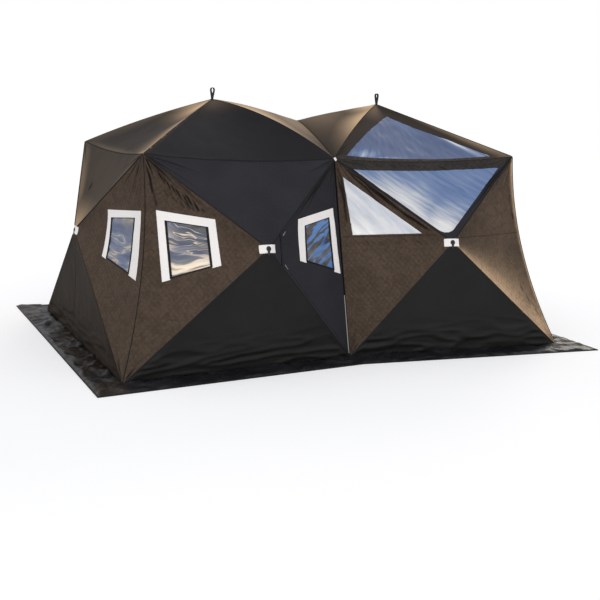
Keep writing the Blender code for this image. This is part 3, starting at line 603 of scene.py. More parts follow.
def surface(net, shader, colour, height, strength, distance):
    """Wires a colour and a bump to a shader."""
    bump = net.add("Bump", Strength=strength, Distance=distance, Height=height)
    net.fill(shader, Base_Color=colour, Normal=bump)


def new_group(name, inputs, outputs):
    """A node group and its net, from its inputs with their values and the names of its masks."""
    group = bpy.data.node_groups.new(name, "ShaderNodeTree")
    for socket, value in inputs.items():
        kind = "NodeSocketVector" if isinstance(value, tuple) else "NodeSocketFloat"
        group.interface.new_socket(socket, in_out="INPUT", socket_type=kind).default_value = value
    for socket in outputs:
        group.interface.new_socket(socket, in_out="OUTPUT", socket_type="NodeSocketFloat")
    return group, Net(group), group.nodes.new("NodeGroupInput"), group.nodes.new("NodeGroupOutput")


def weave_group():
    """Close plain weave and uneven dye: a shade and a height from a pattern in metres."""
    group, net, given, result = new_group(
        "cloth_weave", {"Pattern": (0, 0, 0), "Thread": 900.0}, ("Shade", "Height"),
    )
    pattern = given.outputs["Pattern"]
    parts = net.add("SeparateXYZ", pattern)
    waves = []
    for axis in ("X", "Y"):
        scaled = net.add("Math", parts.outputs[axis], given.outputs["Thread"], operation="MULTIPLY")
        waves.append(net.add("Math", scaled, operation="SINE"))
    crossing = net.add("Math", *waves, operation="MULTIPLY")
    fine = net.add("TexNoise", Vector=pattern, Scale=60.0, Detail=3.0)
    broad = net.add("TexNoise", Vector=pattern, Scale=2.2, Detail=4.0)
    faded = net.add("Math", fine, 0.4, operation="MULTIPLY")
    shade = net.add("Math", broad, 0.6, faded, operation="MULTIPLY_ADD")
    net.fill(result, Height=crossing, Shade=shade)
    return group


def quilting_group():
    """Diamond quilting: puffed diamonds with stitched lines between, from a pattern in metres."""
    group, net, given, result = new_group(
        "diamond_quilting", {"Pattern": (0, 0, 0), "Pitch": 0.032}, ("Height", "Stitch"),
    )
    pattern = given.outputs["Pattern"]
    wander = net.add("TexNoise", Vector=pattern, Scale=5.0, Detail=2.0)
    taller = net.add("VectorMath", pattern, (1.0, 0.78, 0), operation="MULTIPLY")
    moved = net.add(
        "VectorMath", wander.outputs["Color"], (0.03, 0.03, 0), taller, operation="MULTIPLY_ADD",
    )
    parts = net.add("SeparateXYZ", moved)
    sides = []
    for operation in ("ADD", "SUBTRACT"):
        diagonal = net.add("Math", parts.outputs["X"], parts.outputs["Y"], operation=operation)
        cells = net.add("Math", diagonal, given.outputs["Pitch"], operation="DIVIDE")
        sides.append(net.add("Math", cells, 0.5, operation="PINGPONG"))
    nearest = net.add("Math", *sides, operation="MINIMUM")
    puff = net.add("MapRange", interpolation_type="SMOOTHERSTEP", Value=nearest, From_Max=0.42)
    line = net.add("MapRange", Value=nearest, From_Max=0.12, To_Min=1.0, To_Max=0.0)
    net.fill(result, Height=puff, Stitch=line)
    return group


WEAVE, QUILTING = weave_group(), quilting_group()
GOLD = (0.66, 0.45, 0.27)


def cloth_finish(name, dark, light, quilted=False, roughness=0.72, crumple=0.0, gloss=0.12):
    """Tent cloth: two dye shades, a gold sheen, painted gold light where it glows, painted shade in its
    creases, weave and quilting.
    """
    made, net, shader = new_material(
        name, Roughness=roughness, Specular_IOR_Level=gloss, Sheen_Weight=0.04, Sheen_Roughness=0.45,
        Sheen_Tint=(*GOLD, 1),
    )
    pattern = net.add("UVMap", uv_map="pattern")
    weave = net.add("Group", node_tree=WEAVE, Pattern=pattern)
    shade = net.add("MapRange", Value=weave.outputs["Shade"], From_Min=0.35, From_Max=0.65)
    base = net.mix(shade, (*dark, 1), (*light, 1))
    # Gold is mixed in where the glow layer marks it: painted light.
    lit = net.mix(net.attribute("glow"), base, (*GOLD, 1))
    # Folds and creases are darkened towards near black: painted shade.
    deep = net.add("Math", net.attribute("crease"), 0.88, operation="MULTIPLY")
    colour = net.mix(deep, lit, (0.006, 0.005, 0.005, 1))
    bump = net.add("Bump", Strength=0.25, Distance=0.0006, Height=weave.outputs["Height"])
    if quilted:
        quilt = net.add("Group", node_tree=QUILTING, Pattern=pattern, Pitch=0.046)
        colour = net.mix(quilt.outputs["Stitch"], colour, (0.80, 0.79, 0.78, 1), "MULTIPLY")
        bump = net.add("Bump", Strength=0.6, Distance=0.004, Height=quilt.outputs["Height"], Normal=bump)
    if crumple:
        crush = net.add("TexNoise", Vector=pattern, Scale=15.0, Detail=5.0, Distortion=1.4)
        # The colour darkens in the crumple's dips and lightens on its crests: painted shade and highlight.
        shades = net.add("MapRange", Value=crush, From_Min=0.38, From_Max=0.60, To_Min=0.80, To_Max=1.04)
        colour = net.mix(1.0, colour, shades, "MULTIPLY")
        bump = net.add("Bump", Strength=crumple, Distance=0.006, Height=crush, Normal=bump)
    net.fill(shader, Base_Color=colour, Normal=bump)
    return made


CHARCOAL = cloth_finish("charcoal_cloth", (0.0185, 0.018, 0.0225), (0.027, 0.0265, 0.0325))
BLACK = cloth_finish(
    "black_cloth", (0.0095, 0.0090, 0.0084), (0.0145, 0.0137, 0.0127), roughness=0.5, gloss=0.2,
)
DARK_BROWN = cloth_finish("dark_brown_cloth", (0.0150, 0.0100, 0.0065), (0.0215, 0.0150, 0.0100))
BROWN = cloth_finish("brown_quilted_cloth", (0.060, 0.041, 0.028), (0.092, 0.064, 0.045), True, crumple=0.45)
ROOF = cloth_finish("brown_roof_cloth", (0.0162, 0.0140, 0.0125), (0.0235, 0.0203, 0.0185))
# Charcoal cloth made darker for the left roof's front and back facets, which face up into more light:
# painted shade.
CHARCOAL_PAINTED_SHADE = cloth_finish("dark_eave_cloth", (0.0112, 0.0109, 0.0132), (0.0152, 0.0149, 0.0178))
DARK_QUILT = cloth_finish(
    "dark_quilted_cloth", (0.028, 0.025, 0.023), (0.041, 0.036, 0.032), True, crumple=0.3,
)
LINING = cloth_finish("lining", (0.012, 0.012, 0.012), (0.020, 0.019, 0.018), True)
CLOTH_THICKNESS, FILM_THICKNESS, BAND_THICKNESS = 0.0035, 0.0012, 0.0016

# ---- Covers: one for each wall and roof ----
# Each is four facets sewn along the ridges over the poles, with openings for its windows. The foot
# facets are plain black, the sides are quilted, and the eave facets and roof are plain.
FACET_CLOTH = {
    "front_left": (CHARCOAL, CHARCOAL, BLACK, BROWN),
    "front_right": (CHARCOAL, BROWN, BLACK, BROWN),
    "back_left": (CHARCOAL, BROWN, BLACK, BROWN),
    "back_right": (CHARCOAL, BROWN, BLACK, BROWN),
    "end_left": (ROOF, BROWN, DARK_BROWN, BROWN),
    "end_right": (ROOF, BROWN, BLACK, BROWN),
    "roof_left": (CHARCOAL_PAINTED_SHADE, ROOF, CHARCOAL_PAINTED_SHADE, ROOF),
    "roof_right": (ROOF, ROOF, ROOF, ROOF),
}
# The eave bands above and below the clear windows: how far out from the hub they start
EAVE_BANDS = {("front_right", "front"): 0.7594, ("roof_right", "front"): 0.9499}
# Where the low sun catches the cloth: share along the seam, share out, two reaches, strength
GLOWS.update({
    ("roof_left", "outer"): (
        (1.0, 0.45, 0.18, 0.50, 0.65), (1.0, 0.80, 0.08, 0.30, 0.80), (0.97, 0.98, 0.09, 0.09, 0.55),
        (0.62, 0.13, 0.45, 0.20, 1.0), (0.3, 0.12, 0.5, 0.16, 0.65), (0.5, 1.0, 0.5, 0.05, 0.15),
        (0.0, 0.5, 0.12, 0.6, 0.10),
    ),
    ("roof_left", "front"): ((0.5, 0.0, 0.8, 0.17, 0.14), (0.0, 0.6, 0.02, 0.5, 0.05)),
    ("roof_left", "waist"): (
        (0.0, 0.36, 0.6, 0.36, 1.0), (0.0, 0.62, 0.04, 0.3, 0.5), (0.4, 0.85, 0.25, 0.25, 0.35),
    ),
    ("roof_right", "waist"): (
        (0.0, 0.35, 0.24, 0.34, 0.95), (0.5, 0.05, 0.9, 0.28, 0.95), (0.55, 0.70, 0.35, 0.35, 0.22),
    ),
    ("roof_right", "front"): (
        (0.9, 0.1, 0.3, 0.2, 0.2), (0.0, 0.75, 0.06, 0.4, 0.35), (0.5, 0.5, 1.0, 1.0, 0.03),
    ),
    ("roof_right", "outer"): ((1.0, 0.6, 0.2, 0.5, 0.6),),
    ("end_left", "front"): (
        (0.6, 0.0, 0.8, 0.28, 0.62), (0.95, 0.5, 0.10, 0.5, 0.24), (0.5, 0.5, 1.0, 1.0, 0.05),
        (0.0, 0.9, 0.10, 0.5, 0.14),
    ),
    ("end_right", "outer"): ((1.0, 0.9, 0.3, 0.25, 0.8), (0.9, 0.3, 0.2, 0.4, 0.5)),
    ("front_right", "outer"): (
        (0.0, 0.45, 0.28, 0.60, 0.80), (0.0, 0.90, 0.20, 0.30, 0.8), (0.95, 1.0, 0.35, 0.030, 1.0),
        (0.35, 1.0, 0.50, 0.018, 0.9), (0.75, 0.75, 0.2, 0.3, 0.03),
    ),
    ("back_right", "outer"): ((0.0, 0.6, 0.2, 0.5, 0.3),),
})

# Outlines on a facet's flat pattern, in metres out from the hub and along the seam
END_FRAME = [(0.5634, 0.11), (1.0784, 0.04), (1.0384, -0.505), (0.4834, -0.265)]
END_FILM = [(0.6034, 0.04), (0.9784, -0.005), (0.9234, -0.443), (0.5534, -0.285)]
FRONT_FRAME = [(0.8987, 0.22), (0.4387, 0.19), (0.3587, -0.165), (0.8037, -0.335)]
FRONT_FILM = [(0.8237, 0.145), (0.4887, 0.125), (0.4287, -0.178), (0.7437, -0.3)]
DOOR_FRAME = [(0.3925, 0.25), (0.8825, 0.37), (0.9175, -0.195), (0.3925, -0.09)]
DOOR_FILM = [(0.4825, 0.2), (0.8175, 0.285), (0.8375, -0.16), (0.4725, -0.09)]
ROOF_FILM = [(0.2149, 0.025), (0.9449, -0.63), (0.9549, 0.79)]
TOP_FILM = [
    (0.1356, 0.0517), (0.1192, 0.0305), (0.1058, -0.004), (0.1056, -0.0465), (0.1186, -0.0812),
    (0.1348, -0.1025), (0.7594, -0.745), (0.7594, 0.68),
]
SIDE_FILM = [(0.8975, 0.637), (0.8525, 0.131), (0.2575, 0.099)]
DOORWAY = [(0.15, -0.1179), (0.96, -0.8885), (0.96, 0.7782), (0.15, 0.1018)]
# Room between the door's frame and the cloth on the hub, for the frame's way round as it folds
TIP_GAP = [(0.1395, -0.3), (0.15, -0.3), (0.15, 0.3), (0.1395, 0.3)]
FLUE = (0.48, 0.0)


def ring(centre, radius, steps=24):
    """A round outline in the flat pattern."""
    angles = [math.tau * i / steps for i in range(steps)]
    return [(centre[0] + radius * math.cos(a), centre[1] + radius * math.sin(a)) for a in angles]


OPENINGS = {
    ("end_left", "outer"): END_FILM, ("front_left", "outer"): FRONT_FILM,
    ("front_left", "waist"): DOORWAY, ("roof_right", "front"): ROOF_FILM,
    ("front_right", "front"): TOP_FILM, ("front_right", "waist"): SIDE_FILM,
    ("roof_left", "back"): ring(FLUE, 0.062),
}


# Facets with deep creases are cut from a finer grid
CELLS = {
    "front_left_front": 0.012, "front_left_waist": 0.011, "front_left_outer": 0.0065,
    "front_left_back": 0.014, "front_right_front": 0.009, "front_right_waist": 0.0085,
    "front_right_outer": 0.010, "front_right_back": 0.014, "end_left_outer": 0.010,
    "end_left_front": 0.013, "end_left_waist": 0.014, "end_left_back": 0.014,
    "roof_right_front": 0.010,
}
# How far towards its hub, as a share of the way, the door's frame reaches
FRAME_REACH = 0.847
SURFACES = {}
for panel, cloths in FACET_CLOTH.items():
    own = list(dict.fromkeys((*cloths, *(DARK_QUILT for key in EAVE_BANDS if key[0] == panel))))
    lined = [*own, *[LINING] * len(own)]
    sheets = []
    for seam, cloth in zip(SEAMS, cloths):
        facet = Facet(panel, seam)
        sheet = new_sheet(facet, CELLS.get(facet.name, 0.016))
        for face in sheet.faces:
            face.material_index = own.index(cloth)
        if (panel, seam) in EAVE_BANDS:
            edge = EAVE_BANDS[panel, seam]
            for face in cut_along(sheet, [(edge, -1.5), (1.5, -1.5), (1.5, 1.5), (edge, 1.5)]):
                face.material_index = own.index(DARK_QUILT)
        opening = OPENINGS.get((panel, seam))
        if opening:
            drop(sheet, cut_along(sheet, opening))
        if opening is DOORWAY:
            drop(sheet, cut_along(sheet, TIP_GAP))
        number = sheet.faces.layers.int.new("facet")
        for face in sheet.faces:
            face[number] = SEAMS.index(seam)
        sheets.append(hang(sheet, facet))
    whole = joined(sheets)
    number = whole.faces.layers.int["facet"]
    for edge in whole.edges:
        edge.smooth = len({face[number] for face in edge.link_faces}) < 2
    SURFACES[panel] = BVHTree.FromBMesh(whole)
    if panel == "front_left":
        # The cloth round the door folds about the waist with the door's frame.
        folding = whole.copy()
        for shape, folds in ((folding, True), (whole, False)):
            number, pop = shape.faces.layers.int["facet"], shape.verts.layers.float["pop"]
            drop(shape, [
                face for face in shape.faces
                if folds != (face[number] == SEAMS.index("waist")
                             and sum(vert[pop] for vert in face.verts) / len(face.verts) < FRAME_REACH)
            ])
        surround = as_object("cloth_door_surround", folding, lined)
        thicken(surround, CLOTH_THICKNESS, lining=len(own))
        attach(surround, "door_frame")
    cover = as_object(f"cloth_{panel}", whole, lined)
    thicken(cover, CLOTH_THICKNESS, lining=len(own))
    pop_with(cover, panel)
    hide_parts(f"cover_{panel}")

# ---- Piping: black binding along the ridges and seams ----
# A cord in folded tape is sewn into every seam. Ridge piping pops in and out with its hub, and
# the piping between two panels stays with the corners.


def binding_finish():
    """Folded black tape: dense cross ribs and a slight sheen."""
    made, net, shader = new_material("binding_tape", Roughness=0.7, Specular_IOR_Level=0.15)
    where = net.add("TexCoord").outputs["Object"]
    spots = net.add("TexNoise", Vector=where, Scale=45.0, Detail=3.0)
    tone = net.ramp(spots, (0.0, (0.006, 0.006, 0.006)), (1.0, (0.020, 0.019, 0.018)))
    ribs = net.add("TexWave", Vector=where, Scale=120.0, bands_direction="DIAGONAL")
    surface(net, shader, tone, ribs, 0.3, 0.0005)
    return made


BINDING = binding_finish()


def tubes(name, paths, radius):
    """Round cords in black tape along lists of points, as one mesh object."""
    curve = bpy.data.curves.new(name, "CURVE")
    curve.dimensions = "3D"
    curve.bevel_depth = radius
    curve.bevel_resolution = 3
    curve.use_fill_caps = True
    for path in paths:
        spline = curve.splines.new("POLY")
        spline.points.add(len(path) - 1)
        for point, place in zip(spline.points, path):
            point.co = (*place, 1)
    holder = new_object(name, curve)
    mesh = bpy.data.meshes.new_from_object(holder.evaluated_get(bpy.context.evaluated_depsgraph_get()))
    bpy.data.objects.remove(holder)
    mesh.polygons.foreach_set("use_smooth", [True] * len(mesh.polygons))
    mesh.materials.clear()
    mesh.materials.append(BINDING)
    made = new_object(name, mesh)
    return made


def pop_by_distance(piece, panel):
    """Gives a piece its share of the pop by how far out from the hub each of its points lies."""
    corners, hub = PANELS[panel]
    normal = panel_normal(panel)
    rays = np.array([vert.co - hub for vert in piece.data.vertices])
    out = np.zeros(len(rays))
    for start, end in zip(corners, [*corners[1:], corners[0]]):
        outwards = (end - start).cross(normal)
        out = np.maximum(out, rays @ np.array(outwards) / outwards.dot(start - hub))
    layer = piece.data.attributes.get("pop") or piece.data.attributes.new("pop", "FLOAT", "POINT")
    layer.data.foreach_set("value", 1 - np.clip(out, 0, 1))
    pop_with(piece, panel)


for panel, (corners, hub) in PANELS.items():
    normal = panel_normal(panel)
    # The piping starts beside the hub's washer or its patch.
    first = 0.015 if panel.startswith("roof") else 0.052
    steps = [first + (0.995 - first) * i / 60 for i in range(61)]
    paths = [
        [hub.lerp(end, v) + normal * (bow * 4 * v * (1 - v) + 0.001) for v in steps]
        for end, bow in zip(corners, RIDGE_BOW.get(panel, (0, 0, 0, 0)))
    ]
    # The upper ridges of a wall carry a thick cord. The lower ones, and a roof's, have a thin one.
    for level, pair, radius in (("upper", paths[:2], 0.0042), ("lower", paths[2:], 0.0016)):
        if panel.startswith("roof"):
            radius = 0.0014 if panel == "roof_left" else 0.0030
        pop_by_distance(tubes(f"ridge_piping_{panel}_{level}", pair, radius), panel)

seam_paths = {}
for panel, (corners, hub) in PANELS.items():
    for seam in SEAMS:
        facet = Facet(panel, seam)
        ends = sorted((tuple(facet.start), tuple(facet.end)))
        key = tuple(round(value, 2) for point in ends for value in point)
        if facet.start.z > 1 or facet.end.z > 1:
            path = np.array(hub) + facet.seam_point(np.linspace(0.004, 0.996, 70))
            seam_paths[key] = path + facet.normal * 0.0006, abs(facet.start.y - facet.end.y) < 0.3
for kind, along_eave, radius in (("eave_piping", True, 0.0017), ("seam_piping", False, 0.0034)):
    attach(tubes(kind, [path for path, flag in seam_paths.values() if flag == along_eave], radius), "shell")


def spaced(points, steps):
    """Evenly spaced points along each stretch of a path, less its last point."""
    return np.concatenate([
        np.linspace(start, end, steps, endpoint=False) for start, end in zip(points, points[1:])
    ])


# Flat seams across a facet show as one raised line
WELTS = {
    "front_right_waist": ((0.936, 0.121), (0.53, 0.098), (0.12, 0.075)),
    "front_right_outer": ((0.10, 0.027), (0.53, -0.012), (0.95, -0.047)),
    "end_left_back": ((0.07, -0.005), (0.40, -0.09), (0.98, -0.26)),
}
for name, points in WELTS.items():
    panel, seam = name.rsplit("_", 1)
    facet = Facet(panel, seam)
    places, _, _ = stretched(facet, spaced(points, 40))
    pop_by_distance(tubes(f"welt_{name}", [places + facet.axes[2] * 0.0004], 0.0015), panel)

# ---- Clear films of the roof and the right bay ----
# Heavy clear film is stitched behind each opening. Its colour is a painted reflection of the sky:
# deep blue above, and pale cloud where it turns to the light, with fine wrinkles pulled from its
# corners.


def streak_group():
    """Long wrinkles in film: a mask, stretched along a turned pattern."""
    group, net, given, result = new_group(
        "film_wrinkles",
        {"Pattern": (0, 0, 0), "Turn": 0.0, "Stretch": 8.0, "Scale": 4.0, "Warp": 0.05}, ("Mask",),
    )
    pattern = given.outputs["Pattern"]
    warp = net.add("TexNoise", Vector=pattern, Scale=5.0, Detail=2.0)
    centred = net.add("VectorMath", warp.outputs["Color"], (0.5, 0.5, 0.5), operation="SUBTRACT")
    pushed = net.add("VectorMath", centred, operation="SCALE", Scale=given.outputs["Warp"])
    moved = net.add("VectorMath", pattern, pushed, operation="ADD")
    turned = net.add("VectorRotate", rotation_type="Z_AXIS", Vector=moved, Angle=given.outputs["Turn"])
    axes = net.add("SeparateXYZ", turned)
    across = net.add("Math", axes.outputs["Y"], given.outputs["Stretch"], operation="MULTIPLY")
    squeezed = net.add("CombineXYZ", axes.outputs["X"], across)
    streaks = net.add(
        "TexNoise", Vector=squeezed, Scale=given.outputs["Scale"], Detail=3.0, Roughness=0.55,
    )
    net.fill(result, Mask=streaks)
    return group


WRINKLES = streak_group()


def wrinkled(net, fanned, **named):
    """Wrinkles over a film, side by side on its pattern or fanned out from the hub."""
    if fanned:
        pattern = net.add("CombineXYZ", net.attribute("pop"), net.attribute("share"))
    else:
        pattern = net.add("UVMap", uv_map="pattern")
    return net.add("Group", node_tree=WRINKLES, Pattern=pattern, **named)


def painted_sky_reflection_film(name, codes, turn, stretch, scale, amount, warp=0.05, fanned=False):
    """Clear film over the tent's dark inside: painted sky reflection, by a painted spot map and wrinkles."""
    made, net, shader = new_material(name, Roughness=0.22, Coat_Weight=0.35, Coat_Roughness=0.08)
    wrinkles = wrinkled(net, fanned, Turn=turn, Stretch=stretch, Scale=scale, Warp=warp)
    centred = net.add("Math", wrinkles, 0.5, operation="SUBTRACT")
    tone = net.add("Math", centred, amount, net.attribute("glow"), operation="MULTIPLY_ADD")
    stops = [(i / (len(codes) - 1), dye(code)) for i, code in enumerate(codes)]
    surface(net, shader, net.ramp(tone, *stops), wrinkles, 0.35, 0.003)
    return made


ROOF_SKY = painted_sky_reflection_film(
    "roof_film", ("394d75", "4a5f88", "8997b2", "e6e5e4"), 0.0, 12.0, 2.4, 0.9, 0.02, fanned=True,
)
TOP_SKY = painted_sky_reflection_film("top_film", ("526a96", "6f82a4", "acb2bd", "dfddda"), 0.85, 9.0, 2.4, 1.1)
SIDE_SKY = painted_sky_reflection_film("side_film", ("98a4bb", "bcc1ca", "dcdcdd", "f8f4ef"), -0.87, 7.0, 2.4, 1.1)
# Each window's spots mark where its painted sky reflection turns pale.
SKY_WINDOWS = {
    "sky_window_roof": ("roof_right", "front", ROOF_FILM, ROOF_SKY, (
        (0.84, 0.91, 0.10, 0.09, 0.6), (0.70, 0.955, 0.14, 0.04, 0.6), (0.145, 0.62, 0.035, 0.42, 1.0),
        (0.5, 0.6, 0.6, 0.6, 0.02), (0.33, 0.30, 0.16, 0.22, 0.40), (0.07, 0.9, 0.05, 0.1, 0.8),
    )),
    "sky_window_front_top": ("front_right", "front", TOP_FILM, TOP_SKY, (
        (1.0, 0.38, 0.46, 0.48, 1.0), (0.62, 0.12, 0.6, 0.34, 1.1), (0.78, 0.58, 0.28, 0.32, 0.75),
        (0.35, 0.30, 0.25, 0.2, 0.5), (0.5, 0.5, 2.0, 2.0, 0.12),
    )),
    "sky_window_front_side": ("front_right", "waist", SIDE_FILM, SIDE_SKY, (
        (0.5, 0.5, 2.0, 2.0, 0.50), (0.45, 0.75, 0.25, 0.45, 0.92),
    )),
}
for node, (panel, seam, outline, film, spots) in SKY_WINDOWS.items():
    pane = cut_piece(
        f"{node}_film", Facet(panel, seam), outline, [film], FILM_THICKNESS,
        lift=-0.0012, waves=0.0025, spots=spots,
    )
    pop_with(pane, panel)
    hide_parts(node)

# ---- Framed windows: in the left end, the front-left wall and the door ----
# Each is a sheet of clear film, crumpled by its roll-up cover, behind a pale cloth frame that is
# sewn round its top and sides. Black tape binds the film's own edges.


def crumpled_film(name, cool, warm, turn, stretch, scale, warp, fanned=False):
    """Crumpled film: painted bands of reflected sky and of the dark inside's shade, and warm light where it
    is painted.
    """
    made, net, shader = new_material(name, Roughness=0.25, Coat_Weight=0.3, Coat_Roughness=0.08)
    wrinkles = wrinkled(net, fanned, Turn=turn, Stretch=stretch, Scale=scale, Warp=warp)
    spread = net.add("MapRange", Value=wrinkles, From_Min=0.28, From_Max=0.72)
    ramps = [net.ramp(spread, *[(at, dye(code)) for at, code in stops]) for stops in (cool, warm)]
    surface(net, shader, net.mix(net.attribute("glow"), *ramps), wrinkles, 0.6, 0.006)
    return made


def frame_finish():
    """Smooth pale cloth, unevenly dyed, with a faint weave."""
    made, net, shader = new_material("window_frame_cloth", Roughness=0.55)
    weave = net.add("Group", node_tree=WEAVE, Pattern=net.add("UVMap", uv_map="pattern"))
    shade = net.add("MapRange", Value=weave.outputs["Shade"], From_Min=0.3, From_Max=0.7)
    tone = net.mix(shade, (*dye("eae5e0"), 1), (*dye("f8f4f0"), 1))
    surface(net, shader, tone, weave.outputs["Height"], 0.2, 0.0005)
    return made


FRAME_CLOTH = frame_finish()
# Each film's ramps paint reflected sky, the shade of the dark inside and cream streaks of painted highlight.
END_WAVES = crumpled_film(
    "end_window_film",
    ((0.0, "3c4a6a"), (0.25, "4b5878"), (0.45, "687086"), (0.56, "757c8e"), (0.61, "c2b196"),
     (0.645, "85878f"), (0.75, "626d8a"), (1.0, "3c4a6a")),
    ((0.0, "6a6860"), (0.5, "8b8478"), (0.7, "a39a88"), (1.0, "6f6a62")),
    0.30, 6.0, 1.5, 0.10,
)
FRONT_WAVES = crumpled_film(
    "front_window_film",
    ((0.0, "232327"), (0.18, "3e3e41"), (0.30, "2c3752"), (0.40, "3b4c74"), (0.45, "536897"),
     (0.475, "1c1c20"), (0.54, "2e3b57"), (0.585, "33405c"), (0.605, "f2d9b6"), (0.62, "3d465a"),
     (0.72, "22304e"), (0.80, "47474a"), (1.0, "2c2a27")),
    ((0.0, "3c4a6a"), (0.24, "4c5a7c"), (0.36, "7d7b76"), (0.43, "f3d9b4"), (0.54, "fbeedb"),
     (0.60, "dcc3a0"), (0.65, "5b6680"), (0.74, "3c4c72"), (0.80, "f0d3ab"), (1.0, "7d7466")),
    0.10, 9.0, 1.1, 0.07, fanned=True,
)
DOOR_WAVES = crumpled_film(
    "door_window_film",
    ((0.0, "3d3a35"), (0.28, "4f4a44"), (0.36, "36332f"), (0.41, "4f78ae"), (0.62, "5682ba"),
     (0.66, "45413b"), (0.76, "544f48"), (0.82, "36332f"), (0.86, "5179ae"), (1.0, "5179ae")),
    ((0.0, "5c5a57"), (0.42, "77797d"), (0.50, "5179ae"), (0.60, "5682ba"), (0.7, "747475"),
     (1.0, "446393")),
    -0.58, 7.0, 1.5, 0.06,
)


def inset(outline, distances):
    """An outline with each edge moved in by its own distance."""
    middle = sum((Vector(point) for point in outline), Vector((0, 0))) / len(outline)
    lines = []
    for start, end, distance in zip(outline, [*outline[1:], outline[0]], distances):
        along = (Vector(end) - Vector(start)).normalized()
        inwards = Vector((-along.y, along.x))
        if inwards.dot(middle - Vector(start)) < 0:
            inwards.negate()
        lines.append((Vector(start) + inwards * distance, along))
    moved = []
    for (point, along), (other, way) in zip([lines[-1], *lines[:-1]], lines):
        reach = (other - point).cross(way) / along.cross(way)
        moved.append(tuple(point + along * reach))
    return moved


def framed_window(name, facet, border, film, waves, spots):
    """A window's film, its pale frame and its black binding, as three objects."""
    pane = cut_piece(
        f"{name}_film", facet, film, [waves], FILM_THICKNESS, 0.008, lift=-0.0014, waves=0.006, spots=spots,
    )
    # The frame's opening runs on through its lower edge.
    first, second, third, fourth = (Vector(point) for point in film)
    opening = [first, second, third + (third - second) * 0.4, fourth + (fourth - first) * 0.4]
    band = cut_piece(
        f"{name}_frame", facet, border, [FRAME_CLOTH], BAND_THICKNESS, 0.010,
        [tuple(point) for point in opening], lift=0.0018, spots=(),
    )
    tape = cut_piece(
        f"{name}_binding", facet, inset(film, (-0.003,) * 4), [BINDING], BAND_THICKNESS, 0.010,
        inset(film, (0.003, 0.016, 0.008, 0.016)), lift=0.0026, spots=(),
    )
    return pane, band, tape


for panel, border, film, waves, spots in (
    ("end_left", END_FRAME, END_FILM, END_WAVES, ((0.72, 0.78, 0.05, 0.10, 0.9),)),
    ("front_left", FRONT_FRAME, FRONT_FILM, FRONT_WAVES,
     ((0.45, 0.65, 0.085, 0.60, 1.0), (0.60, 0.85, 0.08, 0.10, 0.7))),
):
    pieces = framed_window(f"window_{panel}", Facet(panel, "outer"), border, film, waves, spots)
    for piece in pieces:
        pop_with(piece, panel)
    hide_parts(f"window_{panel}")

# ---- Door: a zipped panel in the front-left wall, beside the waist ----
# Plain charcoal cloth with a window, hinged on its edge at the waist seam. A zip runs round its
# other three sides, on tape that is sewn to the wall.
door_facet = Facet("front_left", "waist")
DOOR = [(0.1706, -0.109), (0.9415, -0.8425), (0.9415, 0.7358), (0.1706, 0.0922)]
TAPE_OUTER = [(0.1503, -0.1177), (0.9455, -0.8743), (0.9455, 0.7656), (0.1503, 0.1017)]
TAPE_INNER = [(0.1703, -0.1092), (0.9455, -0.8467), (0.9455, 0.7396), (0.1703, 0.0923)]
HINGE_STRIP = [(0.9280, -0.855), (0.9488, -0.888), (0.9488, 0.775), (0.9280, 0.748)]
TIP_FLAP = [(0.122, -0.070), (0.165, -0.070), (0.165, 0.060), (0.122, 0.060)]

door = cut_piece(
    "cloth_door", door_facet, DOOR, [CHARCOAL, LINING], CLOTH_THICKNESS, 0.008, DOOR_FILM,
)
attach(door, "door")
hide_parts("door_panel")

# Strips behind the hinge edge and the tip of the frame keep out the draught.
for name, outline, lift in (("hinge", HINGE_STRIP, -0.0040), ("tip", TIP_FLAP, -0.0043)):
    strip = cut_piece(f"door_{name}_strip", door_facet, outline, [LINING], 0.0008, 0.008, lift=lift)
    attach(strip, "door_frame")

door_pieces = framed_window(
    "window_door", door_facet, DOOR_FRAME, DOOR_FILM, DOOR_WAVES, ((0.50, 0.68, 0.045, 0.30, 0.8),),
)
for piece in door_pieces:
    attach(piece, "door")
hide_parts("window_door")

zip_tape = cut_piece("zip_tape", door_facet, TAPE_OUTER, [CHARCOAL], 0.0030, hole=TAPE_INNER, lift=0.0002)
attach(zip_tape, "door_frame")
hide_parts("door_zip_tape")
coil_places, _, _ = stretched(door_facet, spaced(ZIP_LINE, 60))
zip_coil = tubes("zip_coil", [coil_places + door_facet.axes[2] * 0.0004], 0.0012)
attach(zip_coil, "door_frame")

# ---- Hub patches: pale cloth squares on the walls, where the hub's post comes through ----
# A doubled patch is glued and stitched over the point of the four facets, with a round hole
# for the post. The washer and the pull strap lie over it.
PATCH_WIDTH, PATCH_HEIGHT, PATCH_THICKNESS, POST_HOLE = 0.144, 0.068, 0.0012, 0.0125
for panel, (corners, hub) in PANELS.items():
    if panel.startswith("roof"):
        continue
    normal = panel_normal(panel)
    upright = Vector((0, 0, 1))
    across = upright.cross(normal).normalized()
    upright = normal.cross(across)
    patch_sheet = bmesh.new()
    bmesh.ops.create_grid(patch_sheet, x_segments=28, y_segments=14, size=0.5)
    bmesh.ops.scale(patch_sheet, vec=(PATCH_WIDTH, PATCH_HEIGHT, 1), verts=patch_sheet.verts)
    drop(patch_sheet, cut_along(patch_sheet, ring((0, 0), POST_HOLE)))
    keep_pattern(patch_sheet)
    for vert in patch_sheet.verts:
        start = hub + across * vert.co.x + upright * vert.co.y + normal * 0.3
        place, _, _, _ = SURFACES[panel].ray_cast(start, -normal)
        vert.co = place + normal * PATCH_THICKNESS
    bmesh.ops.smooth_vert(
        patch_sheet, verts=patch_sheet.verts, factor=0.3, use_axis_x=True, use_axis_y=True,
        use_axis_z=True,
    )
    face_out(patch_sheet, normal)
    patch = as_object(f"hub_patch_{panel}", patch_sheet, [FRAME_CLOTH])
    thicken(patch, PATCH_THICKNESS, offset=1.0)
    pop_by_distance(patch, panel)

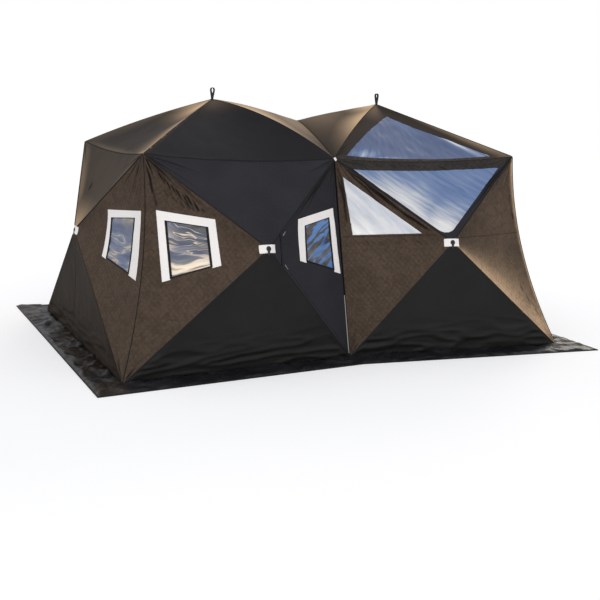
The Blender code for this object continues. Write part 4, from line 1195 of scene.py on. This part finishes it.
# Small tabs: a dark one on the left end, and a pale webbing loop at each end of the arched seam
tab_facet = Facet("end_left", "front")
diamond = [(0.405 + x, 0.203 + y) for x, y in ((-0.045, 0), (0, -0.035), (0.045, 0), (0, 0.035))]
dark_tab = cut_piece("end_tab", tab_facet, diamond, [BINDING], 0.0014, 0.010, lift=0.0014, spots=())
pop_with(dark_tab, "end_left")

for face, face_name in ((-1, "front"), (1, "back")):
    start = corner(0, face, True)
    loop_sheet = bmesh.new()
    bmesh.ops.create_grid(loop_sheet, x_segments=6, y_segments=24, size=0.5)
    for vert in loop_sheet.verts:
        across, along = vert.co.x * 0.020, vert.co.y * math.pi
        vert.co = start + Vector((
            across * 0.94 + 0.007 * math.sin(along), face * (0.006 + 0.011 * math.cos(along / 2)),
            0.019 * math.sin(-along / 2) + across * 0.34 - 0.003,
        ))
    keep_pattern(loop_sheet, "xz")
    tab = as_object(f"waist_loop_{face_name}", loop_sheet, [FRAME_CLOTH])
    thicken(tab, 0.0012, offset=0.0)
    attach(tab, "shell")

# ---- Flue patch: coated glass cloth on the back of the left roof ----
# A square of silicone-coated glass cloth, stitched over the roof, with a round hole for a flue.


def silicone_finish():
    """Red-brown silicone on glass cloth: satin, with the weave just showing."""
    made, net, shader = new_material("jack_silicone_cloth", Roughness=0.48)
    pattern = net.add("UVMap", uv_map="pattern")
    weave = net.add("Group", node_tree=WEAVE, Thread=1400.0, Pattern=pattern)
    tone = net.ramp(weave.outputs["Shade"], (0.35, dye("7a2f22")), (0.65, dye("a04632")))
    surface(net, shader, tone, weave.outputs["Height"], 0.3, 0.0005)
    return made


HALF_FLUE_PATCH = 0.14
square = [
    (FLUE[0] + x * HALF_FLUE_PATCH, FLUE[1] + y * HALF_FLUE_PATCH)
    for x, y in ((-1, -1), (1, -1), (1, 1), (-1, 1))
]
jack = cut_piece(
    "flue_patch", Facet("roof_left", "back"), square, [silicone_finish()], 0.0018,
    hole=ring(FLUE, 0.05), lift=0.0022,
)
pop_with(jack, "roof_left")
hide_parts("stove_jack")

# ---- Ground skirt: a wide flap round the foot of the walls ----
# Thin coated nylon, sewn to the foot of the walls and weighted down with snow or stones. It is
# stowed rolled up, so it lies crumpled, with folds pulled out from the wall.
FOOT = [
    (-BASE_HALF_LENGTH, -BASE_HALF_DEPTH), (0, -BASE_WAIST_HALF_DEPTH), (BASE_HALF_LENGTH, -BASE_HALF_DEPTH),
    (BASE_HALF_LENGTH, BASE_HALF_DEPTH), (0, BASE_WAIST_HALF_DEPTH), (-BASE_HALF_LENGTH, BASE_HALF_DEPTH),
]
# How high the flat skirt lies, and how far it reaches under the wall and out from it
FLAT, UNDER, OUT = 0.0026, 0.03, 0.255
# Heights of its broad and its fine folds
BROAD_FOLD, FINE_FOLD = 0.020, 0.009


def skirt_finish():
    """Coated nylon: dark brown at the ends and near black between, with a low gloss, finely crushed."""
    made, net, shader = new_material("skirt_nylon", Roughness=0.42, Specular_IOR_Level=0.35)
    where = net.add("TexCoord").outputs["Object"]
    broad = net.add("TexNoise", Vector=where, Scale=3.0, Detail=4.0)
    ramps = [
        net.ramp(broad, (0.35, dye(dark)), (0.68, dye(light)))
        for dark, light in (("0f0f12", "232226"), ("14100d", "32281f"))
    ]
    crush = net.add("TexNoise", Vector=where, Scale=22.0, Detail=5.0, Distortion=1.6)
    surface(net, shader, net.mix(net.attribute("at_end"), *ramps), crush, 0.6, 0.008)
    return made


skirt_sheets = []
outlines = inset(FOOT, (UNDER,) * 6), inset(FOOT, (-OUT,) * 6)
for k in range(6):
    # inset() starts each outline at the corner before its first edge.
    inner, outer = ([Vector(outline[k]), Vector(outline[(k + 1) % 6])] for outline in outlines)
    strip = bmesh.new()
    length = (inner[1] - inner[0]).length
    bmesh.ops.create_grid(strip, x_segments=round(length / 0.014), y_segments=22, size=0.5)
    for vert in strip.verts:
        along, way_out = vert.co.x + 0.5, vert.co.y + 0.5
        place = inner[0].lerp(inner[1], along).lerp(outer[0].lerp(outer[1], along), way_out)
        vert.co = (*place, way_out)
    skirt_sheets.append(strip)
skirt_sheet = joined(skirt_sheets)
flat = np.array([vert.co for vert in skirt_sheet.verts])
spread = np.stack([flat[:, 0], flat[:, 1], np.zeros(len(flat))], 1)
ridges = 1 - np.abs(slack(spread + 0.10 * slack(spread, 0.3, 9)[:, None], 0.17, 11)) * 2.2
fine = 1 - np.abs(slack(spread, 0.07, 12)) * 2.0
towards_wall = np.exp(-((flat[:, 2] - 0.12) / 0.2) ** 2)
hem = smooth_step((1 - flat[:, 2]) / 0.12)
folds = BROAD_FOLD * np.clip(ridges, 0, 1) + FINE_FOLD * np.clip(fine, 0, 1) * (0.5 + towards_wall)
height = FLAT + hem * folds
under_wall = smooth_step(flat[:, 2] / 0.14)
at_end = skirt_sheet.verts.layers.float.new("at_end")
for vert, z in zip(skirt_sheet.verts, FLAT + (height - FLAT) * under_wall):
    vert.co.z = z
    vert[at_end] = smooth_step((abs(vert.co.x) - 1.95) / 0.2)
face_out(skirt_sheet, Vector((0, 0, 1)))
skirt = as_object("skirt", skirt_sheet, [skirt_finish()])
thicken(skirt, 0.0016)
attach(skirt, "shell")
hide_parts("ground_skirt")

# A cord in black tape weights the hem.
hem_corners = inset(FOOT, (-0.250,) * 6)
hem = tubes("skirt_hem", [[(*point, 0.0052) for point in [*hem_corners, hem_corners[0]]]], 0.0045)
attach(hem, "shell")

# ---- Moulded and metal parts: hubs, poles and zip sliders ----
# Glass-filled nylon hubs, fibreglass poles with metal ferrules, and cast zinc sliders keep their
# modelled shapes, and get their surface here.


def moulded_finish(name, dark, light, roughness, grain, metallic=0.0):
    """A moulded, drawn or cast surface: slight flow marks in its colour, gloss and height."""
    made, net, shader = new_material(name, Metallic=metallic)
    where = net.add("TexCoord").outputs["Object"]
    flow = net.add("TexNoise", Vector=where, Scale=grain, Detail=4.0)
    worn = net.add("MapRange", Value=flow, To_Min=roughness - 0.08, To_Max=roughness + 0.08)
    net.fill(shader, Roughness=worn)
    tone = net.ramp(flow, (0.35, dye(dark)), (0.65, dye(light)))
    surface(net, shader, tone, flow, 0.15, 0.0004)
    return made


NYLON = moulded_finish("hub_nylon_moulded", "0c0c0d", "1a1a1c", 0.5, 90.0)
FIBREGLASS = moulded_finish("pole_fibreglass_drawn", "141416", "222226", 0.35, 140.0)
ZINC = moulded_finish("zip_zinc_cast", "6e6e70", "9a9a9c", 0.35, 200.0, metallic=1.0)
for name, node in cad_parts.items():
    finish = ZINC if name.startswith("zip_slider") else FIBREGLASS if name.startswith("pole") else NYLON
    for slot in node.material_slots:
        slot.material = finish

# ---- Floor, backdrop and lamps ----
# A pale floor and a white backdrop, both a little brighter to the camera than they light the tent.
floor_mesh = bmesh.new()
bmesh.ops.create_grid(floor_mesh, x_segments=1, y_segments=1, size=30)
floor = new_object("floor", bpy.data.meshes.new("floor"))
floor_mesh.to_mesh(floor.data)
floor_mesh.free()
paint = bpy.data.materials.new("floor_paint")
paint.use_nodes = True
net = Net(paint.node_tree)
net.nodes.remove(net.nodes["Principled BSDF"])
matt = net.add("BsdfDiffuse", Color=(0.80, 0.80, 0.80, 1))
bright = net.add("Emission", Color=(1.0, 0.99, 0.97, 1), Strength=0.29)
hidden = net.add("Emission", Strength=0.0)
only_seen = net.add("MixShader", net.add("LightPath").outputs["Is Camera Ray"], hidden, bright)
net.fill(net.nodes["Material Output"], Surface=net.add("AddShader", matt, only_seen))
floor.data.materials.append(paint)

world = bpy.data.worlds.new("studio")
bpy.context.scene.world = world
world.use_nodes = True
net = Net(world.node_tree)
light = net.nodes["Background"]
net.fill(light, Color=(0.93, 0.95, 1.0, 1), Strength=0.76)
backdrop = net.add("Background", Color=(1, 1, 1, 1), Strength=1.0)
path = net.add("LightPath")
seen = net.add(
    "Math", path.outputs["Is Camera Ray"], path.outputs["Is Transmission Ray"], operation="MAXIMUM",
)
net.fill(net.nodes["World Output"], Surface=net.add("MixShader", seen, light, backdrop))

# A broad soft lamp from the front left, and a low warm one from behind on the right
for name, way, spread, power, colour in (
    ("key", (-0.28, -0.85, 0.50), 60, 0.92, (1.0, 0.99, 0.97)),
    ("low_sun", (0.55, 0.66, 0.40), 20, 0.50, (1.0, 0.90, 0.78)),
):
    lamp = bpy.data.lights.new(name, "SUN")
    lamp.angle, lamp.energy, lamp.color = math.radians(spread), power, colour
    new_object(name, lamp).rotation_euler = Vector(way).to_track_quat("Z", "Y").to_euler()

bpy.context.scene.view_settings.view_transform = "Standard"
